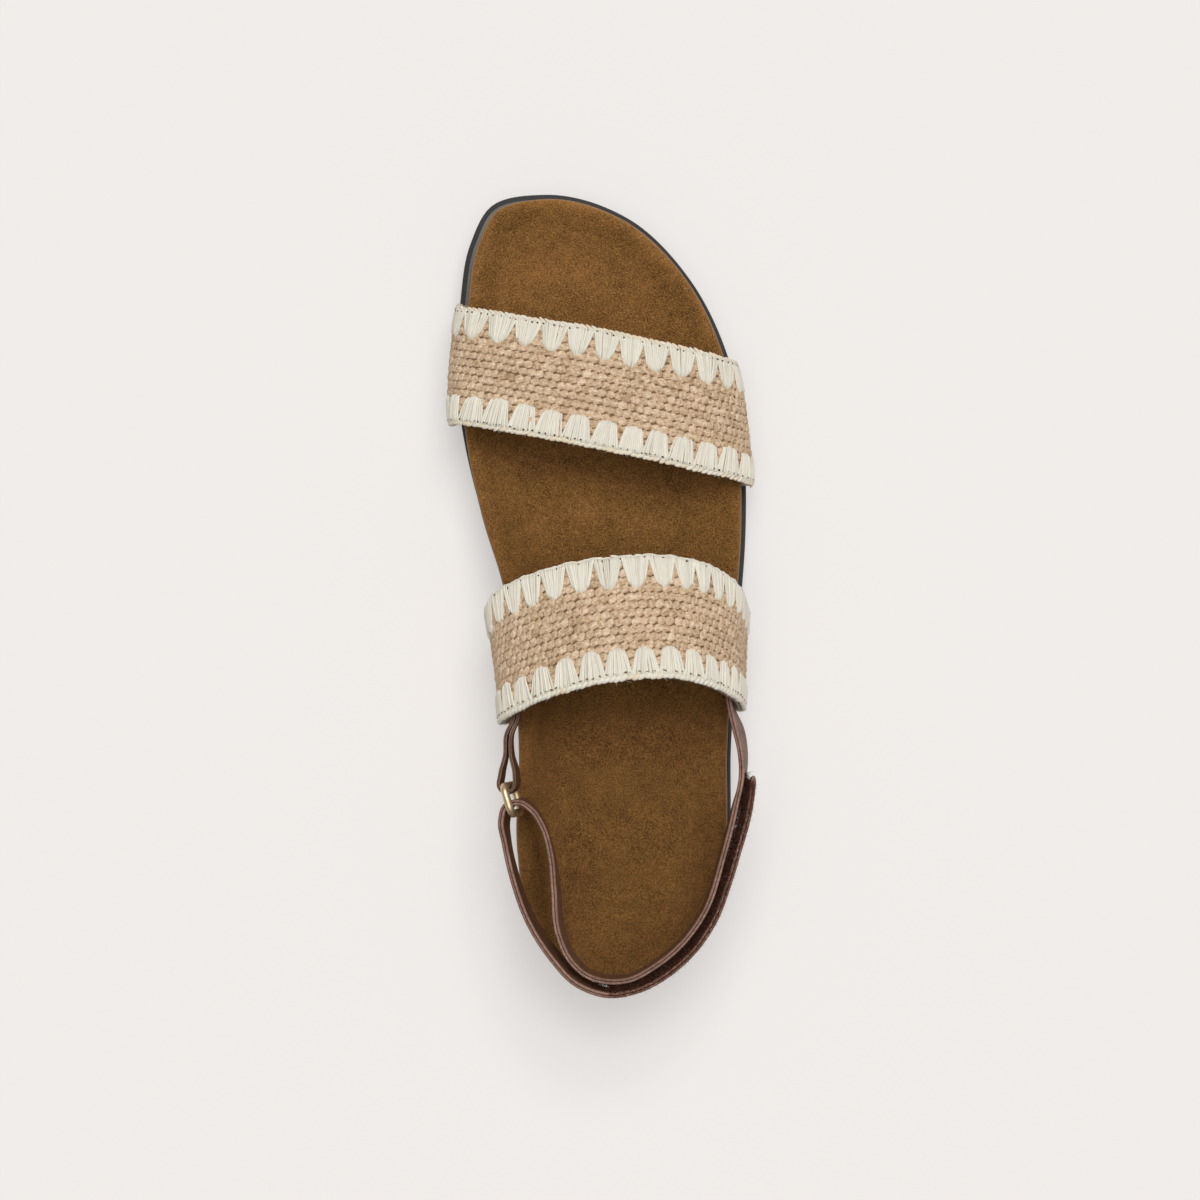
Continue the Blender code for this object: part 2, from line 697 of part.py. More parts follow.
def main():
    for thing in list(bpy.data.objects):
        bpy.data.objects.remove(thing)
    sandal = bpy.data.objects.new("sandal", None)
    bpy.context.scene.collection.objects.link(sandal)
    rubber = finish("black sole rubber", (0.030, 0.030, 0.032), 0.62)
    cork = finish("cork", (0.46, 0.29, 0.15), 0.85)
    suede = finish("brown suede", (0.19, 0.095, 0.032), 0.95)
    woven = finish("woven straw", (0.54, 0.38, 0.24), 0.75)
    leather = finish("brown leather", (0.20, 0.10, 0.066), 0.5)
    pile = finish("dark pile", (0.045, 0.018, 0.012), 0.95)
    brass = finish("aged brass", (0.62, 0.47, 0.27), 0.32, 1.0)
    plan = Plan(RING_POINTS)
    make_outsole(plan, rubber, sandal)
    footbed = make_cork(plan, cork, sandal)
    make_suede(plan, suede, sandal)
    for strap in (TOE_STRAP, INSTEP_STRAP):
        make_strap(plan, strap, woven, sandal)
        for slot in make_strap_slots(plan, strap, woven, sandal):
            cut(footbed, slot)
    make_heel_strap(leather, sandal)
    make_tape(pile, sandal)
    make_tab(leather, sandal)
    make_ring(brass, sandal)


main()
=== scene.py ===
"""Looks of a right-foot cork footbed sandal, laid out as a Blender add-on.

Shapes are worked out in millimetres of the last and turned into metres by place(). "Across" runs
from the inner (big toe) side to the outer side, "along" from heel to toe, "up" from the floor.
"""

import math

import bmesh
import bpy
import numpy as np
from bpy.props import FloatProperty, FloatVectorProperty, IntProperty, PointerProperty
from mathutils import Matrix, Vector


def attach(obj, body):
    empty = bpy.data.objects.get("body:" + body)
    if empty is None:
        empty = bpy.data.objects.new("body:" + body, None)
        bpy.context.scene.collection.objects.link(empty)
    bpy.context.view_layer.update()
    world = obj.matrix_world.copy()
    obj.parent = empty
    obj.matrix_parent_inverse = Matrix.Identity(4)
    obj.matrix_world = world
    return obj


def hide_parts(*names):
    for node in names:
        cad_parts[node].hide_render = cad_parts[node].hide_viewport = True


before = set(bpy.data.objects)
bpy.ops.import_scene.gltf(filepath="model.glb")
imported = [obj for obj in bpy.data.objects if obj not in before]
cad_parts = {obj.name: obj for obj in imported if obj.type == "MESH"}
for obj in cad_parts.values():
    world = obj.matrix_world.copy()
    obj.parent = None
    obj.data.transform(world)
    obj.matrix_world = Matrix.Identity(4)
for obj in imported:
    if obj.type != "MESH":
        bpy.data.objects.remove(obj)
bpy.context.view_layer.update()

bl_info = {
    "name": "Cork Footbed Sandal",
    "version": (1, 0, 0),
    "blender": (4, 5, 0),
    "location": "View3D > Sidebar > Sandal",
    "description": "Builds the suede, cork, woven straps, leather and brass of a sandal",
    "category": "Object",
}

MM = 0.001
GAP = 0.3
BODY = "root"

# The middle of the whole sandal's box, which is the model's origin
CENTRE_ACROSS = 0.16
CENTRE_ALONG = 123.66

SOLE_PLAN = (
    # across, along, ledge beyond the footbed
    (-17.5, 247.8, 2.0),
    (-34.4, 244.0, 2.8),
    (-40.8, 232.4, 2.8),
    (-44.1, 213.5, 2.7),
    (-45.4, 190.0, 2.0),
    (-42.8, 170.6, 0.9),
    (-36.6, 145.5, 0.1),
    (-30.2, 125.0, 0.0),
    (-26.6, 100.0, 0.0),
    (-25.2, 72.0, 0.0),
    (-25.7, 42.0, 0.0),
    (-20.0, 15.3, 0.2),
    (6.9, 0.0, 0.5),
    (33.6, 15.3, 0.9),
    (40.2, 42.0, 1.3),
    (41.2, 75.0, 1.5),
    (43.8, 113.0, 1.7),
    (45.9, 143.0, 1.7),
    (45.8, 163.0, 1.8),
    (40.8, 195.9, 1.6),
    (28.5, 221.2, 1.4),
    (9.2, 240.2, 1.7),
)
TREAD_UP = 1
TREAD = (
    # along, up
    (0.0, 3.0),
    (18.0, 0.0),
    (84.0, 0.0),
    (98.0, 1.6),
    (118.0, 1.6),
    (134.0, 0.0),
    (186.0, 0.0),
    (215.0, 2.6),
    (248.0, 9.0),
)
BED = (
    # along, sole top, middle, inner rim, outer rim
    (0.0, 21.0, 30.0, 35.0, 35.0),
    (16.0, 20.6, 27.6, 35.2, 35.0),
    (38.0, 20.0, 26.4, 35.6, 34.2),
    (70.0, 18.6, 26.0, 37.6, 32.4),
    (105.0, 16.4, 25.0, 38.6, 30.4),
    (140.0, 13.6, 21.6, 30.6, 26.8),
    (175.0, 12.2, 19.0, 25.2, 24.6),
    (205.0, 13.4, 19.4, 25.0, 25.0),
    (230.0, 16.4, 22.0, 27.2, 27.2),
    (248.0, 19.6, 25.0, 29.6, 29.6),
)
SOLE_TOP, BED_MIDDLE, INNER_RIM, OUTER_RIM = 1, 2, 3, 4
HEEL_SEAT = (7.0, 34.0)
TOE_SEAT = (-6.0, 204.0)
BED_RISES = (
    # across, along, height, reach across, reach along
    (2.0, 146.0, 2.2, 17.0, 19.0),
    (-4.0, 200.0, 1.4, 30.0, 8.0),
)
SLOPE_FOOT = 0.50
SLOPE_HEAD = 0.96
# The suede's rolled bead and the soft trough inside it
RIM_FOLDS = (
    # in from the edge, height, reach
    (2.4, 0.35, 1.7),
    (8.0, -0.55, 3.2),
)
# Painted light and shade in the suede's colour: bands round the rim, a painted highlight near it and painted
# shade over the trough, then patches of painted light
PAINTED_RIM_BANDS = (
    # in from the edge, amount, reach
    (2.0, 0.20, 1.5),
    (7.0, -0.17, 3.2),
)
PAINTED_LIGHT_PATCHES = (
    # across, along, amount, reach across, reach along
    (-10.0, 224.0, 0.20, 24.0, 14.0),
    (8.0, 40.0, 0.10, 16.0, 26.0),
)
# The painted bands grow from nothing to full between two places along, but get no fainter than a share
PAINTED_BANDS_FADE = (150.0, 220.0, 0.3)
# How pale the suede's raw edge is, partly a painted highlight on the rim, and how far in from it that falls
# by one
RAW_EDGE_AND_HIGHLIGHT = (1.15, 0.8)
SIDE_INSET = 1
SOLE_SIDE = (
    # share of the wall's height, inset
    (0.0, 3.0),
    (0.05, 1.7),
    (0.16, 0.5),
    (0.30, 0.1),
    (0.44, 0.0),
    (0.47, 0.25),
    (0.50, 0.9),
    (0.53, 0.25),
    (0.56, 0.0),
    (0.88, 0.0),
    (0.96, 0.25),
    (1.0, 0.9),
)
SOLE_WALL_STEPS = 32
# The ledge stays black up to the first inset and is a paler grey, a painted highlight, from the second
SOLE_LEDGE = (1.55, 1.75)
# Rings on the way from the middle line to the edge, on the sole's faces and under the cork
FIELD_SHARES = (0.03, 0.28, 0.55, 0.80)
# Faces of the tread look down at least this much and lie below this height
TREAD_FACING = 0.7
TREAD_REACH = 12.0
TREAD_GROOVE_WIDTH = 2.2
TREAD_GROOVE_DEPTH = 1.3
FOREFOOT_GROOVES = (143.0, 9.0, 9)
HEEL_GROOVES = (24.0, 9.0, 7)

SUEDE = 1.3
BED_GAP = 0.5
SUEDE_LIP = 3.2
SUEDE_RIM = (
    # inset from the footbed's edge, below the rim
    (1.8, 0.0),
    (1.3, 0.06),
    (0.8, 0.32),
    (0.4, 0.8),
    (0.15, 1.5),
    (0.03, 2.3),
    (0.0, 2.9),
    (0.25, SUEDE_LIP),
    (SUEDE, SUEDE_LIP),
    (2.0, SUEDE),
)
# The suede's rings lie closer together where it climbs to the rim
SUEDE_SHARES = np.concatenate([np.linspace(0.03, 0.5, 15), np.linspace(0.525, 0.93, 26)])
CORK_FOOT = (
    # inset from the footbed's edge, above the sole
    (1.2, 0.0),
    (0.6, 0.3),
    (0.2, 1.2),
)
CORK_WALL_STEPS = 6
CORK_RIM = (
    # inset from the footbed's edge, below the rim
    (0.0, SUEDE_LIP + 1.2),
    (0.1, SUEDE_LIP + GAP),
    (SUEDE + GAP, SUEDE_LIP + GAP),
    (2.2, SUEDE + BED_GAP),
)
UNDER_SHARES = (0.90, 0.80, 0.68, 0.54, 0.28, 0.03)

STRAP_WALL = 2.2
# Heights on a strap are from the middle of its wall. The weave's ground is sunk below the wall's
# upper face, which the stitches then reach
WEAVE_SINK = 0.35
WEAVE_GROUND = STRAP_WALL / 2.0 - WEAVE_SINK
STRAP_ROUND = 0.6
STRAP_THREADS = 14
STRAP_EDGE = (
    # in from the edge, height as a share of half the wall
    (0.15, -0.6),
    (0.0, 0.0),
    (0.15, 0.4),
)
STRAP_TUCK = 6.0
STRAP_TURN_INSET = 1.2
STRAP_TURN_HEIGHT = 2.4
# Stitches: the margin along both edges, then half sizes as shares of the pitches and in mm
ROW_MARGIN = 1.5
STITCH_LONG = (0.60, 0.68)
STITCH_WIDE = (0.51, 0.57)
STITCH_TALL = (0.50, 0.68)
STITCH_SPREAD = {"along": 0.05, "across": 0.08, "slant": 0.10}
# How unevenly stitches, turns and holes lie in height, and how the tones of stitches and strands vary
HEIGHT_SPREAD = 0.06
TONE_SPREAD = 0.22
# A stitch's ends droop by this share of its height. Each has its own stretch of the fibre pattern
GRAIN_DROOP = 0.15
FIBRE_STEP = 7.3
FIBRE_RANGE = 900.0
# How far the fibre pattern runs down the sides of stitches and strands
STITCH_SIDE = 0.5
STRAND_SIDE = 0.2
# Strands of a fan: how high they arch, more at the fan's middle, how deep they end, how they bow from
# tip to foot and how thick they are
FAN_ARCH = 0.85
FAN_CROWN = 0.12
FAN_CROWN_TURN = 1.4
FAN_END = 0.25
FAN_BOW = 0.8
STRAND_TALL = 0.28
# A strand's width at its tip and at its foot, then from strand to strand, as shares of the width
STRAND_TAPER = (0.72, 1.10)
STRAND_WIDE = (0.8, 1.2)
# A strand rises within the first part of its length and falls over the edge: reach and roundness
FAN_RISE = {"reach": 0.16, "power": 0.6}
FAN_FALL = {"end": 1.2, "reach": 0.3, "power": 0.7}
FAN_SPREAD = {"foot": 0.12, "head": 0.08, "fan": 0.25, "reach": 0.12, "height": 0.10}
# Where a strand is sewn down, as a share of the cord's width
FAN_SEWN = 0.6
# Turns of a cord lie aslant. Its scallops are full this far from a fan's middle
CORD_SLANT = 0.4
SCALLOP_REACH = 4.0
# How far in and up the turns lie and their half sizes, as shares of the cord's width and their pitch
CORD_INSET = 0.8
CORD_RISE = 0.1
CORD_LONG = (0.8, 1.0)
CORD_WIDE = (0.75, 1.05)
CORD_TALL = 0.95
CORD_SPREAD = {"along": 0.1, "slant": 0.12, "tone": 0.18}
# Needle holes: their spacing, wider where the cord is scalloped, their half sizes and their height
HOLE_SPACING = (1.2, 3.4)
HOLE_SPACING_SCALLOP = 8.0
HOLE_LONG = (0.26, 0.45)
HOLE_WIDE = (0.22, 0.36)
HOLE_TALL = 0.2
HOLE_RISE = 0.8
# How far inside the cord a hole lies, with its spread, then its palest tone and its largest turn
HOLE_INSIDE = (0.15, 0.12)
HOLE_TONE = 0.6
HOLE_TURN = 0.5
# Loose fibres at the rear edge: how many, how thick, and near which runs, with their spread
LOOSE_FIBRES = 14
LOOSE_THICKNESS = 0.07
LOOSE_MIDDLE = 0.5
LOOSE_ENDS = (0.18, 0.88)
LOOSE_SPREAD = 0.10
LOOSE_RUNS = (0.03, 0.97)
# Their length as a share of the cord's width, how they sway and lift, how deep and high they start
LOOSE_LENGTH = (0.5, 1.0)
LOOSE_SWAY = 0.7
LOOSE_LIFT = (-0.3, 0.7)
LOOSE_INSET = 0.4
LOOSE_HEIGHT = 0.5
LOOSE_TONE = (0.4, 1.0)
# An edge has fans of pale strands at places along it. Their tips are a share of their feet, lean along
# the edge and are rounded. Its cord has a width, a tone, scallops between the fans and tan thread
TOE_STRAP = {
    "name": "toe_strap",
    # Foot along the sole, then how far out, how high and how far forward of it the side bulges
    "inner side": ((213.0, 0.4, 25.0, -0.6), (176.0, 2.0, 27.0, -0.2)),
    "outer side": ((194.5, 0.2, 23.5, -0.2), (156.5, 0.9, 23.5, -0.2)),
    "front": (
        # across, along, up
        (-41.2, 211.4, 35.6),
        (-33.0, 210.0, 40.6),
        (-17.3, 207.2, 43.6),
        (0.3, 204.4, 44.4),
        (16.0, 200.9, 43.4),
        (29.6, 198.0, 39.8),
        (38.0, 195.8, 33.4),
    ),
    "rear": (
        (-43.4, 175.0, 37.4),
        (-35.0, 173.6, 43.4),
        (-20.0, 170.8, 47.4),
        (-1.7, 167.2, 48.6),
        (15.4, 163.7, 47.2),
        (31.0, 160.1, 42.4),
        (41.6, 157.9, 34.2),
    ),
    "front edge": {
        "fans": (0, 7.8, 15.6, 23.4, 32, 40, 48.2, 56, 64.2, 71.9, 79.5, 87.8, 96, 104, 112, 119.5),
        "tip": 0.50, "lean": -1.3, "round": 0.16,
        "cord": 1.3, "tone": 0.25, "scallop": 0.0, "tan thread": 0.0,
    },
    "rear edge": {
        "fans": (
            1.5, 10, 18.4, 27, 35.6, 44.1, 52.6, 61.2, 70, 78.3, 86.2, 94.4, 102.8, 111.4, 120.4, 129,
        ),
        "tip": 0.56, "lean": 1.6, "round": 0.06,
        "cord": 1.5, "tone": 0.25, "scallop": 0.0, "tan thread": 0.0,
    },
}
INSTEP_STRAP = {
    "name": "instep_strap",
    "inner side": ((115.0, 4.2, 37.0, 4.0), (82.0, 3.1, 40.0, 0.8)),
    "outer side": ((116.0, 0.1, 34.0, 4.6), (86.0, 1.6, 38.0, 1.6)),
    "front": (
        (-31.8, 122.8, 47.4),
        (-23.6, 127.4, 56.4),
        (-10.5, 131.4, 62.6),
        (6.0, 133.8, 65.2),
        (18.0, 134.2, 63.8),
        (29.6, 132.4, 59.6),
        (39.4, 127.6, 50.4),
    ),
    "rear": (
        (-27.4, 84.8, 51.4),
        (-18.4, 89.4, 62.6),
        (-6.0, 93.6, 70.8),
        (8.0, 96.2, 75.0),
        (20.0, 96.8, 74.0),
        (30.6, 95.0, 67.2),
        (39.6, 91.0, 55.4),
    ),
    "front edge": {
        "fans": (
            1, 9, 17, 25, 32.7, 40.3, 47.4, 55.2, 63.8, 72.2, 80.5, 88.6, 95.8, 102, 108, 114, 120.4,
            127, 134, 141, 148,
        ),
        "tip": 0.48, "lean": 0.0, "round": 0.16,
        "cord": 0.9, "tone": 0.5, "scallop": 0.55, "tan thread": 0.0,
    },
    "rear edge": {
        "fans": (
            0.5, 8.5, 16.5, 24.5, 32.4, 40.2, 48.8, 57.6, 66.2, 74.4, 82.6, 90.6, 98.4, 105.6, 112.2,
            118.8, 126, 134, 142, 150,
        ),
        "tip": 0.52, "lean": 0.0, "round": 0.10,
        "cord": 1.9, "tone": 0.5, "scallop": 0.0, "tan thread": 1.0,
    },
}

HEEL_STRAP_WIDTH = 14.0
HEEL_STRAP_THICKNESS = 1.8
HEEL_STRAP_SECTIONS = 420
# The strap's rounded tip: its narrowest and thinnest shares, and over what length it thins
TIP_NARROW = 0.07
TIP_THIN = 0.4
TIP_REACH = 2.0
HEEL_STRAP = (
    # across, along, up of the band's middle, and how far its top edge stands out
    (39.2, 103.0, 38.5, -0.2),
    (39.6, 93.0, 39.2, -0.3),
    (40.6, 87.0, 40.2, -0.5),
    (42.8, 80.5, 41.6, -1.2),
    (44.0, 74.5, 43.0, -1.0),
    (44.1, 67.0, 45.0, -0.6),
    (41.9, 58.0, 47.4, -0.1),
    (38.0, 43.4, 51.4, 0.1),
    (31.2, 24.2, 56.4, 0.1),
    (25.6, 16.6, 58.0, 0.1),
    (16.8, 9.2, 59.4, 0.1),
    (8.6, 5.0, 60.0, 0.1),
    (2.0, 4.7, 60.0, 0.2),
    (-4.0, 6.7, 59.6, 0.4),
    (-9.0, 11.7, 59.0, 0.6),
    (-12.2, 19.4, 57.6, 0.7),
    (-13.5, 32.0, 55.2, 0.6),
    (-15.0, 43.0, 52.8, 0.15),
    (-17.6, 51.4, 50.6, 0.05),
    (-20.6, 56.2, 49.0, 0.3),
    (-24.2, 58.6, 47.8, 0.8),
    (-27.8, 57.5, 47.4, 1.1),
    (-29.5, 52.6, 47.6, 1.0),
    (-28.8, 46.4, 48.6, 0.6),
    (-26.4, 36.0, 51.0, 0.6),
    (-20.7, 21.5, 55.2, 0.8),
    (-14.5, 12.4, 57.6, 1.0),
    (-6.7, 4.3, 59.6, 0.9),
    (2.6, 0.6, 60.4, 0.3),
    (11.4, 1.8, 60.2, 0.1),
    (20.6, 6.6, 59.4, 0.1),
    (29.3, 14.5, 58.0, 0.1),
    (35.0, 23.0, 56.2, 0.1),
    (39.2, 33.7, 53.8, 0.1),
    (42.3, 43.5, 51.4, 0.1),
    (45.5, 54.6, 48.4, 0.1),
    (47.4, 66.4, 45.4, 0.1),
)
TAPE_KNOTS = (28.0, 35.9)
# Where the other run carries the hooks that the tape's pile holds
HOOK_KNOTS = (4.9, 12.6)
TAPE_WIDTH = 11.0
TAPE_THICKNESS = 0.9
TAPE_TONE = 0.35
TAPE_SECTIONS = 160
# Hairs of the tape's pile: how thick, how much thinner at the tip, how long, how aslant and how bent
HAIR_SEED = 11
HAIR_THICKNESS = 0.065
HAIR_THINNING = 0.5
HAIR_LENGTH = (0.5, 1.15)
HAIR_LEAN = 0.45
HAIR_BEND = 0.3
# The shape of the spread of their tones, the palest of these, and which share is lint, paler still
HAIR_TONES = (1.6, 2.4)
HAIR_PALEST = 0.94
HAIR_LINT = 0.01
LINT_TONE = 0.5
# The line that the heel strap goes round: across, and its two ends along
HEEL_MIDDLE = (7.0, 30.0, 100.0)

RING_WIRE = 2.4
RING_FRONT_BAR = (-28.3, 63.4)
RING_REAR_BAR = (-25.7, 55.0)
RING_UP = 47.4
RING_LEAN = 1.1
RING_OPENING = 15.0
RING_CORNER = 2.4
RING_CORNER_STEPS = 8
RING_WIRE_POINTS = 20
TAB_WIDTH = 9.0
TAB_THICKNESS = 1.1
TAB_SECTIONS = 150
# The tab's edges are less raw than the strap's, and its leather is darker
TAB_RAW = 0.4
TAB_SHADE = 0.8
TAB = (
    # across, along, up, lean
    (-26.3, 88.0, 43.0, 0.0),
    (-26.75, 84.0, 43.5, 0.1),
    (-28.8, 79.0, 44.3, 0.3),
    (-28.95, 73.0, 45.4, 0.6),
    (-30.2, 67.0, 46.8, 1.0),
    (-30.4, 63.0, 47.4, 1.1),
    (-28.4, 61.2, 47.4, 1.1),
    (-26.2, 62.6, 47.4, 1.1),
    (-25.8, 67.0, 46.8, 1.0),
    (-27.2, 73.0, 45.4, 0.6),
    (-27.2, 79.0, 44.3, 0.3),
    (-25.3, 84.0, 43.5, 0.1),
    (-24.9, 88.0, 43.0, 0.0),
)

# A layered leather edge, from the outer face over the top to the inner face
LEATHER_EDGE = (
    # out as a share of half the thickness, below the top in mm, how raw (below nothing in the seam)
    (1.0, 0.50, 0.0),
    (0.86, 0.12, 0.3),
    (0.52, 0.0, 0.6),
    (0.16, 0.07, 0.4),
    (0.0, 0.42, -0.8),
    (-0.16, 0.07, 0.7),
    (-0.52, 0.0, 1.0),
    (-0.86, 0.12, 0.8),
    (-1.0, 0.50, 0.2),
)
# Heights of points on the leather's faces, as shares of the face
LEATHER_FACE = np.linspace(0.85, -0.85, 7)

# Studio: the photograph looks straight down on the shoe
VIEW_ACROSS = 0.0
VIEW_ALONG = 120.625
VIEW_LEVEL = 25.0
VIEW_WIDTH = 375.0
CAMERA_SENSOR = 36.0
CAMERA_REACH = 20.0
FLOOR_GLOW = 0.5
FLOOR_DROP = 0.1
LIGHTS = (
    # name, where it comes from, spread in degrees, strength
    ("overhead_soft", (0.0, 0.0, 1.0), 40.0, 1.05),
    ("toe_key", (0.09, 0.40, 1.0), 28.0, 1.59),
)
SKY_COLOUR = (1.0, 0.99, 0.98, 1.0)
SKY_STRENGTH = 0.2


class SmoothPath:
    """A smooth curve through rows of numbers; the first columns, as many as axes, are its place."""

    def __init__(self, rows, axes, closed=False):
        self.knots = np.array(rows, float)
        if closed:
            self.knots = np.vstack([self.knots, self.knots[:1]])
        self.axes = axes
        self.steps = np.linalg.norm(np.diff(self.knots[:, :axes], axis=0), axis=1)
        slopes = np.diff(self.knots, axis=0) / self.steps[:, None]
        before, after = slopes[:-1], slopes[1:]
        near, far = self.steps[:-1, None], self.steps[1:, None]
        inner = (far * before + near * after) / (near + far)
        if closed:
            first, last = self.steps[0], self.steps[-1]
            ends = (first * slopes[-1] + last * slopes[0]) / (first + last)
            self.tangents = np.vstack([ends, inner, ends])
        else:
            self.tangents = np.vstack([slopes[0], inner, slopes[-1]])

    def at(self, knot):
        """The row at each knot number, which may lie between two knots."""
        knot = np.atleast_1d(np.asarray(knot, float))
        i = np.clip(knot.astype(int), 0, len(self.steps) - 1)
        t = (knot - i)[:, None]
        step = self.steps[i][:, None]
        start, end = self.knots[i], self.knots[i + 1]
        leave, arrive = self.tangents[i] * step, self.tangents[i + 1] * step
        bend = t * t * (3.0 - 2.0 * t)
        return start + (end - start) * bend + t * (1.0 - t) * ((1.0 - t) * leave - t * arrive)

    def evenly(self, first, last, count):
        """Knot numbers of count points, evenly spaced by length from one knot to another."""
        steps_per_knot = 40
        fine = np.linspace(first, last, steps_per_knot * int(last - first + 2))
        places = self.at(fine)[:, : self.axes]
        run = np.concatenate([[0.0], np.cumsum(np.linalg.norm(np.diff(places, axis=0), axis=1))])
        return np.interp(np.linspace(0.0, run[-1], count), run, fine)


def height_at(table, column, along):
    """A column of a table of heights, read along the sandal without overshooting its rows."""
    rows = np.array(table, float)
    stations, values = rows[:, 0], rows[:, column]
    steps = np.diff(stations)
    slopes = np.diff(values) / steps
    product, total = slopes[:-1] * slopes[1:], slopes[:-1] + slopes[1:]
    inner = np.where(product > 0.0, 2.0 * product / np.where(total == 0.0, 1.0, total), 0.0)
    tangents = np.concatenate([slopes[:1], inner, slopes[-1:]])
    along = np.clip(np.asarray(along, float), stations[0], stations[-1])
    i = np.clip(np.searchsorted(stations, along, side="right") - 1, 0, len(steps) - 1)
    t = (along - stations[i]) / steps[i]
    rise = values[i + 1] - values[i]
    curve = (1.0 - t) * tangents[i] - t * tangents[i + 1]
    return values[i] + rise * t * t * (3.0 - 2.0 * t) + t * (1.0 - t) * curve * steps[i]


def place(points):
    """Points of the last, in millimetres, as places in the model, in metres."""
    return (np.asarray(points, float) - (CENTRE_ACROSS, CENTRE_ALONG, 0.0)) * MM


class Plan:
    """The sole's plan as a closed ring of points, with its outward directions and its ledge."""

    def __init__(self, count):
        path = SmoothPath(SOLE_PLAN, axes=2, closed=True)
        rows = path.at(path.evenly(0.0, len(SOLE_PLAN), count + 1)[:-1])
        self.points, self.ledge = rows[:, :2], rows[:, 2]
        flow = np.roll(self.points, -1, axis=0) - np.roll(self.points, 1, axis=0)
        flow /= np.linalg.norm(flow, axis=1)[:, None]
        self.outward = np.column_stack([-flow[:, 1], flow[:, 0]])
        if np.sum(self.outward * (self.points - self.points.mean(axis=0))) < 0.0:
            self.outward = -self.outward

    def inset(self, distance):
        """The ring drawn in by a distance, one for all its points or one for each."""
        return self.points - self.outward * np.broadcast_to(distance, self.ledge.shape)[:, None]

    def bed_ring(self, share):
        """The footbed's edge drawn in towards its middle line, to that share of the way."""
        edge = self.inset(self.ledge)
        return middle_line(edge[:, 1]) * (1.0 - share) + edge * share


def middle_line(along):
    """Points of the footbed's middle line, from the heel's seat to the toes'."""
    clipped = np.clip(along, HEEL_SEAT[1], TOE_SEAT[1])
    turn = (clipped - HEEL_SEAT[1]) / (TOE_SEAT[1] - HEEL_SEAT[1])
    return np.column_stack([HEEL_SEAT[0] + (TOE_SEAT[0] - HEEL_SEAT[0]) * turn, clipped])


def rim_height(points):
    """The rim's height beside each point: the inner rim, the outer rim, or between at the ends."""
    half_width = 30.0
    side = np.clip((points[:, 0] - middle_line(points[:, 1])[:, 0]) / half_width, -1.0, 1.0)
    inner = height_at(BED, INNER_RIM, points[:, 1])
    outer = height_at(BED, OUTER_RIM, points[:, 1])
    return inner * (1.0 - side) / 2.0 + outer * (1.0 + side) / 2.0


def bed_height(points, share):
    """The footbed's top at points of its ring at that share of the way to its edge."""
    middle = height_at(BED, BED_MIDDLE, points[:, 1])
    climb = min(1.0, max(0.0, (share - SLOPE_FOOT) / (SLOPE_HEAD - SLOPE_FOOT)))
    rise = math.sin(math.pi / 2.0 * climb) ** 2
    height = middle + (rim_height(points) - middle) * rise
    return height + swells(points, BED_RISES) * (1.0 - share) ** 0.5


def swells(points, spots):
    """Soft round swellings, added up at each point."""
    total = np.zeros(len(points))
    for across, along, amount, reach_across, reach_along in spots:
        away = ((points[:, 0] - across) / reach_across) ** 2
        away += ((points[:, 1] - along) / reach_along) ** 2
        total += amount * np.exp(-away)
    return total


def rim_bands(inset, bands):
    """Soft bands that follow the footbed's edge, added up at each distance in from it."""
    return sum(amount * np.exp(-(((inset - middle) / reach) ** 2)) for middle, amount, reach in bands)


def raised(plan_points, up):
    """Points of the plan at a height, one for all of them or one for each."""
    return np.column_stack([plan_points, np.broadcast_to(up, len(plan_points))])


def bed_layer(plan, shares, depth):
    """Rings of the footbed's top, or of a layer that lies that depth below it."""
    rings = []
    for share in shares:
        points = plan.bed_ring(share)
        rings.append(raised(points, bed_height(points, share) - depth))
    return rings


def field(plan, table, column, lift=0.0):
    """Rings of a face that follows a table of heights, from its middle line outwards."""
    rings = []
    for share in FIELD_SHARES:
        points = plan.bed_ring(share)
        rings.append(raised(points, height_at(table, column, points[:, 1]) + lift))
    return rings


def strap_foot(plan, inner_side, along):
    """Where a strap goes under the footbed: the edge point there and its outward direction."""
    edge = plan.inset(plan.ledge)
    on_side = (edge[:, 0] < middle_line(edge[:, 1])[:, 0]) == inner_side
    order = np.argsort(np.where(on_side, edge[:, 1], np.inf))[: int(on_side.sum())]
    rows = np.column_stack([edge, plan.outward])[order]
    across, out_across, out_along = (np.interp(along, rows[:, 1], rows[:, c]) for c in (0, 2, 3))
    return np.array([across, along]), np.array([out_across, out_along])


def strap_path(plan, strap, share):
    """One thread of a strap's wall, at a share of its width from the front edge to the rear one."""
    free = np.array(strap["front"]) * (1.0 - share) + np.array(strap["rear"]) * share
    ends = []
    for side in ("inner side", "outer side"):
        front, rear = np.array(strap[side])
        along, out, high, forward = front * (1.0 - share) + rear * share
        edge, outward = strap_foot(plan, side == "inner side", along)
        bulge_edge, bulge_outward = strap_foot(plan, side == "inner side", along + forward)
        up = float(height_at(BED, SOLE_TOP, along)) + GAP + STRAP_WALL / 2.0
        bend = GAP + STRAP_WALL / 2.0
        ends.append([
            (*(edge - outward * STRAP_TUCK), up),
            (*(edge - outward * STRAP_TURN_INSET), up),
            (*(edge + outward * bend), up + STRAP_TURN_HEIGHT),
            (*(bulge_edge + bulge_outward * (bend + out)), high),
        ])
    return SmoothPath([*ends[0], *free, *ends[1][::-1]], axes=3)


def edges_of(strap):
    """A strap's edges, each with the share of its width at which it lies."""
    return (0.0, strap["front edge"]), (1.0, strap["rear edge"])


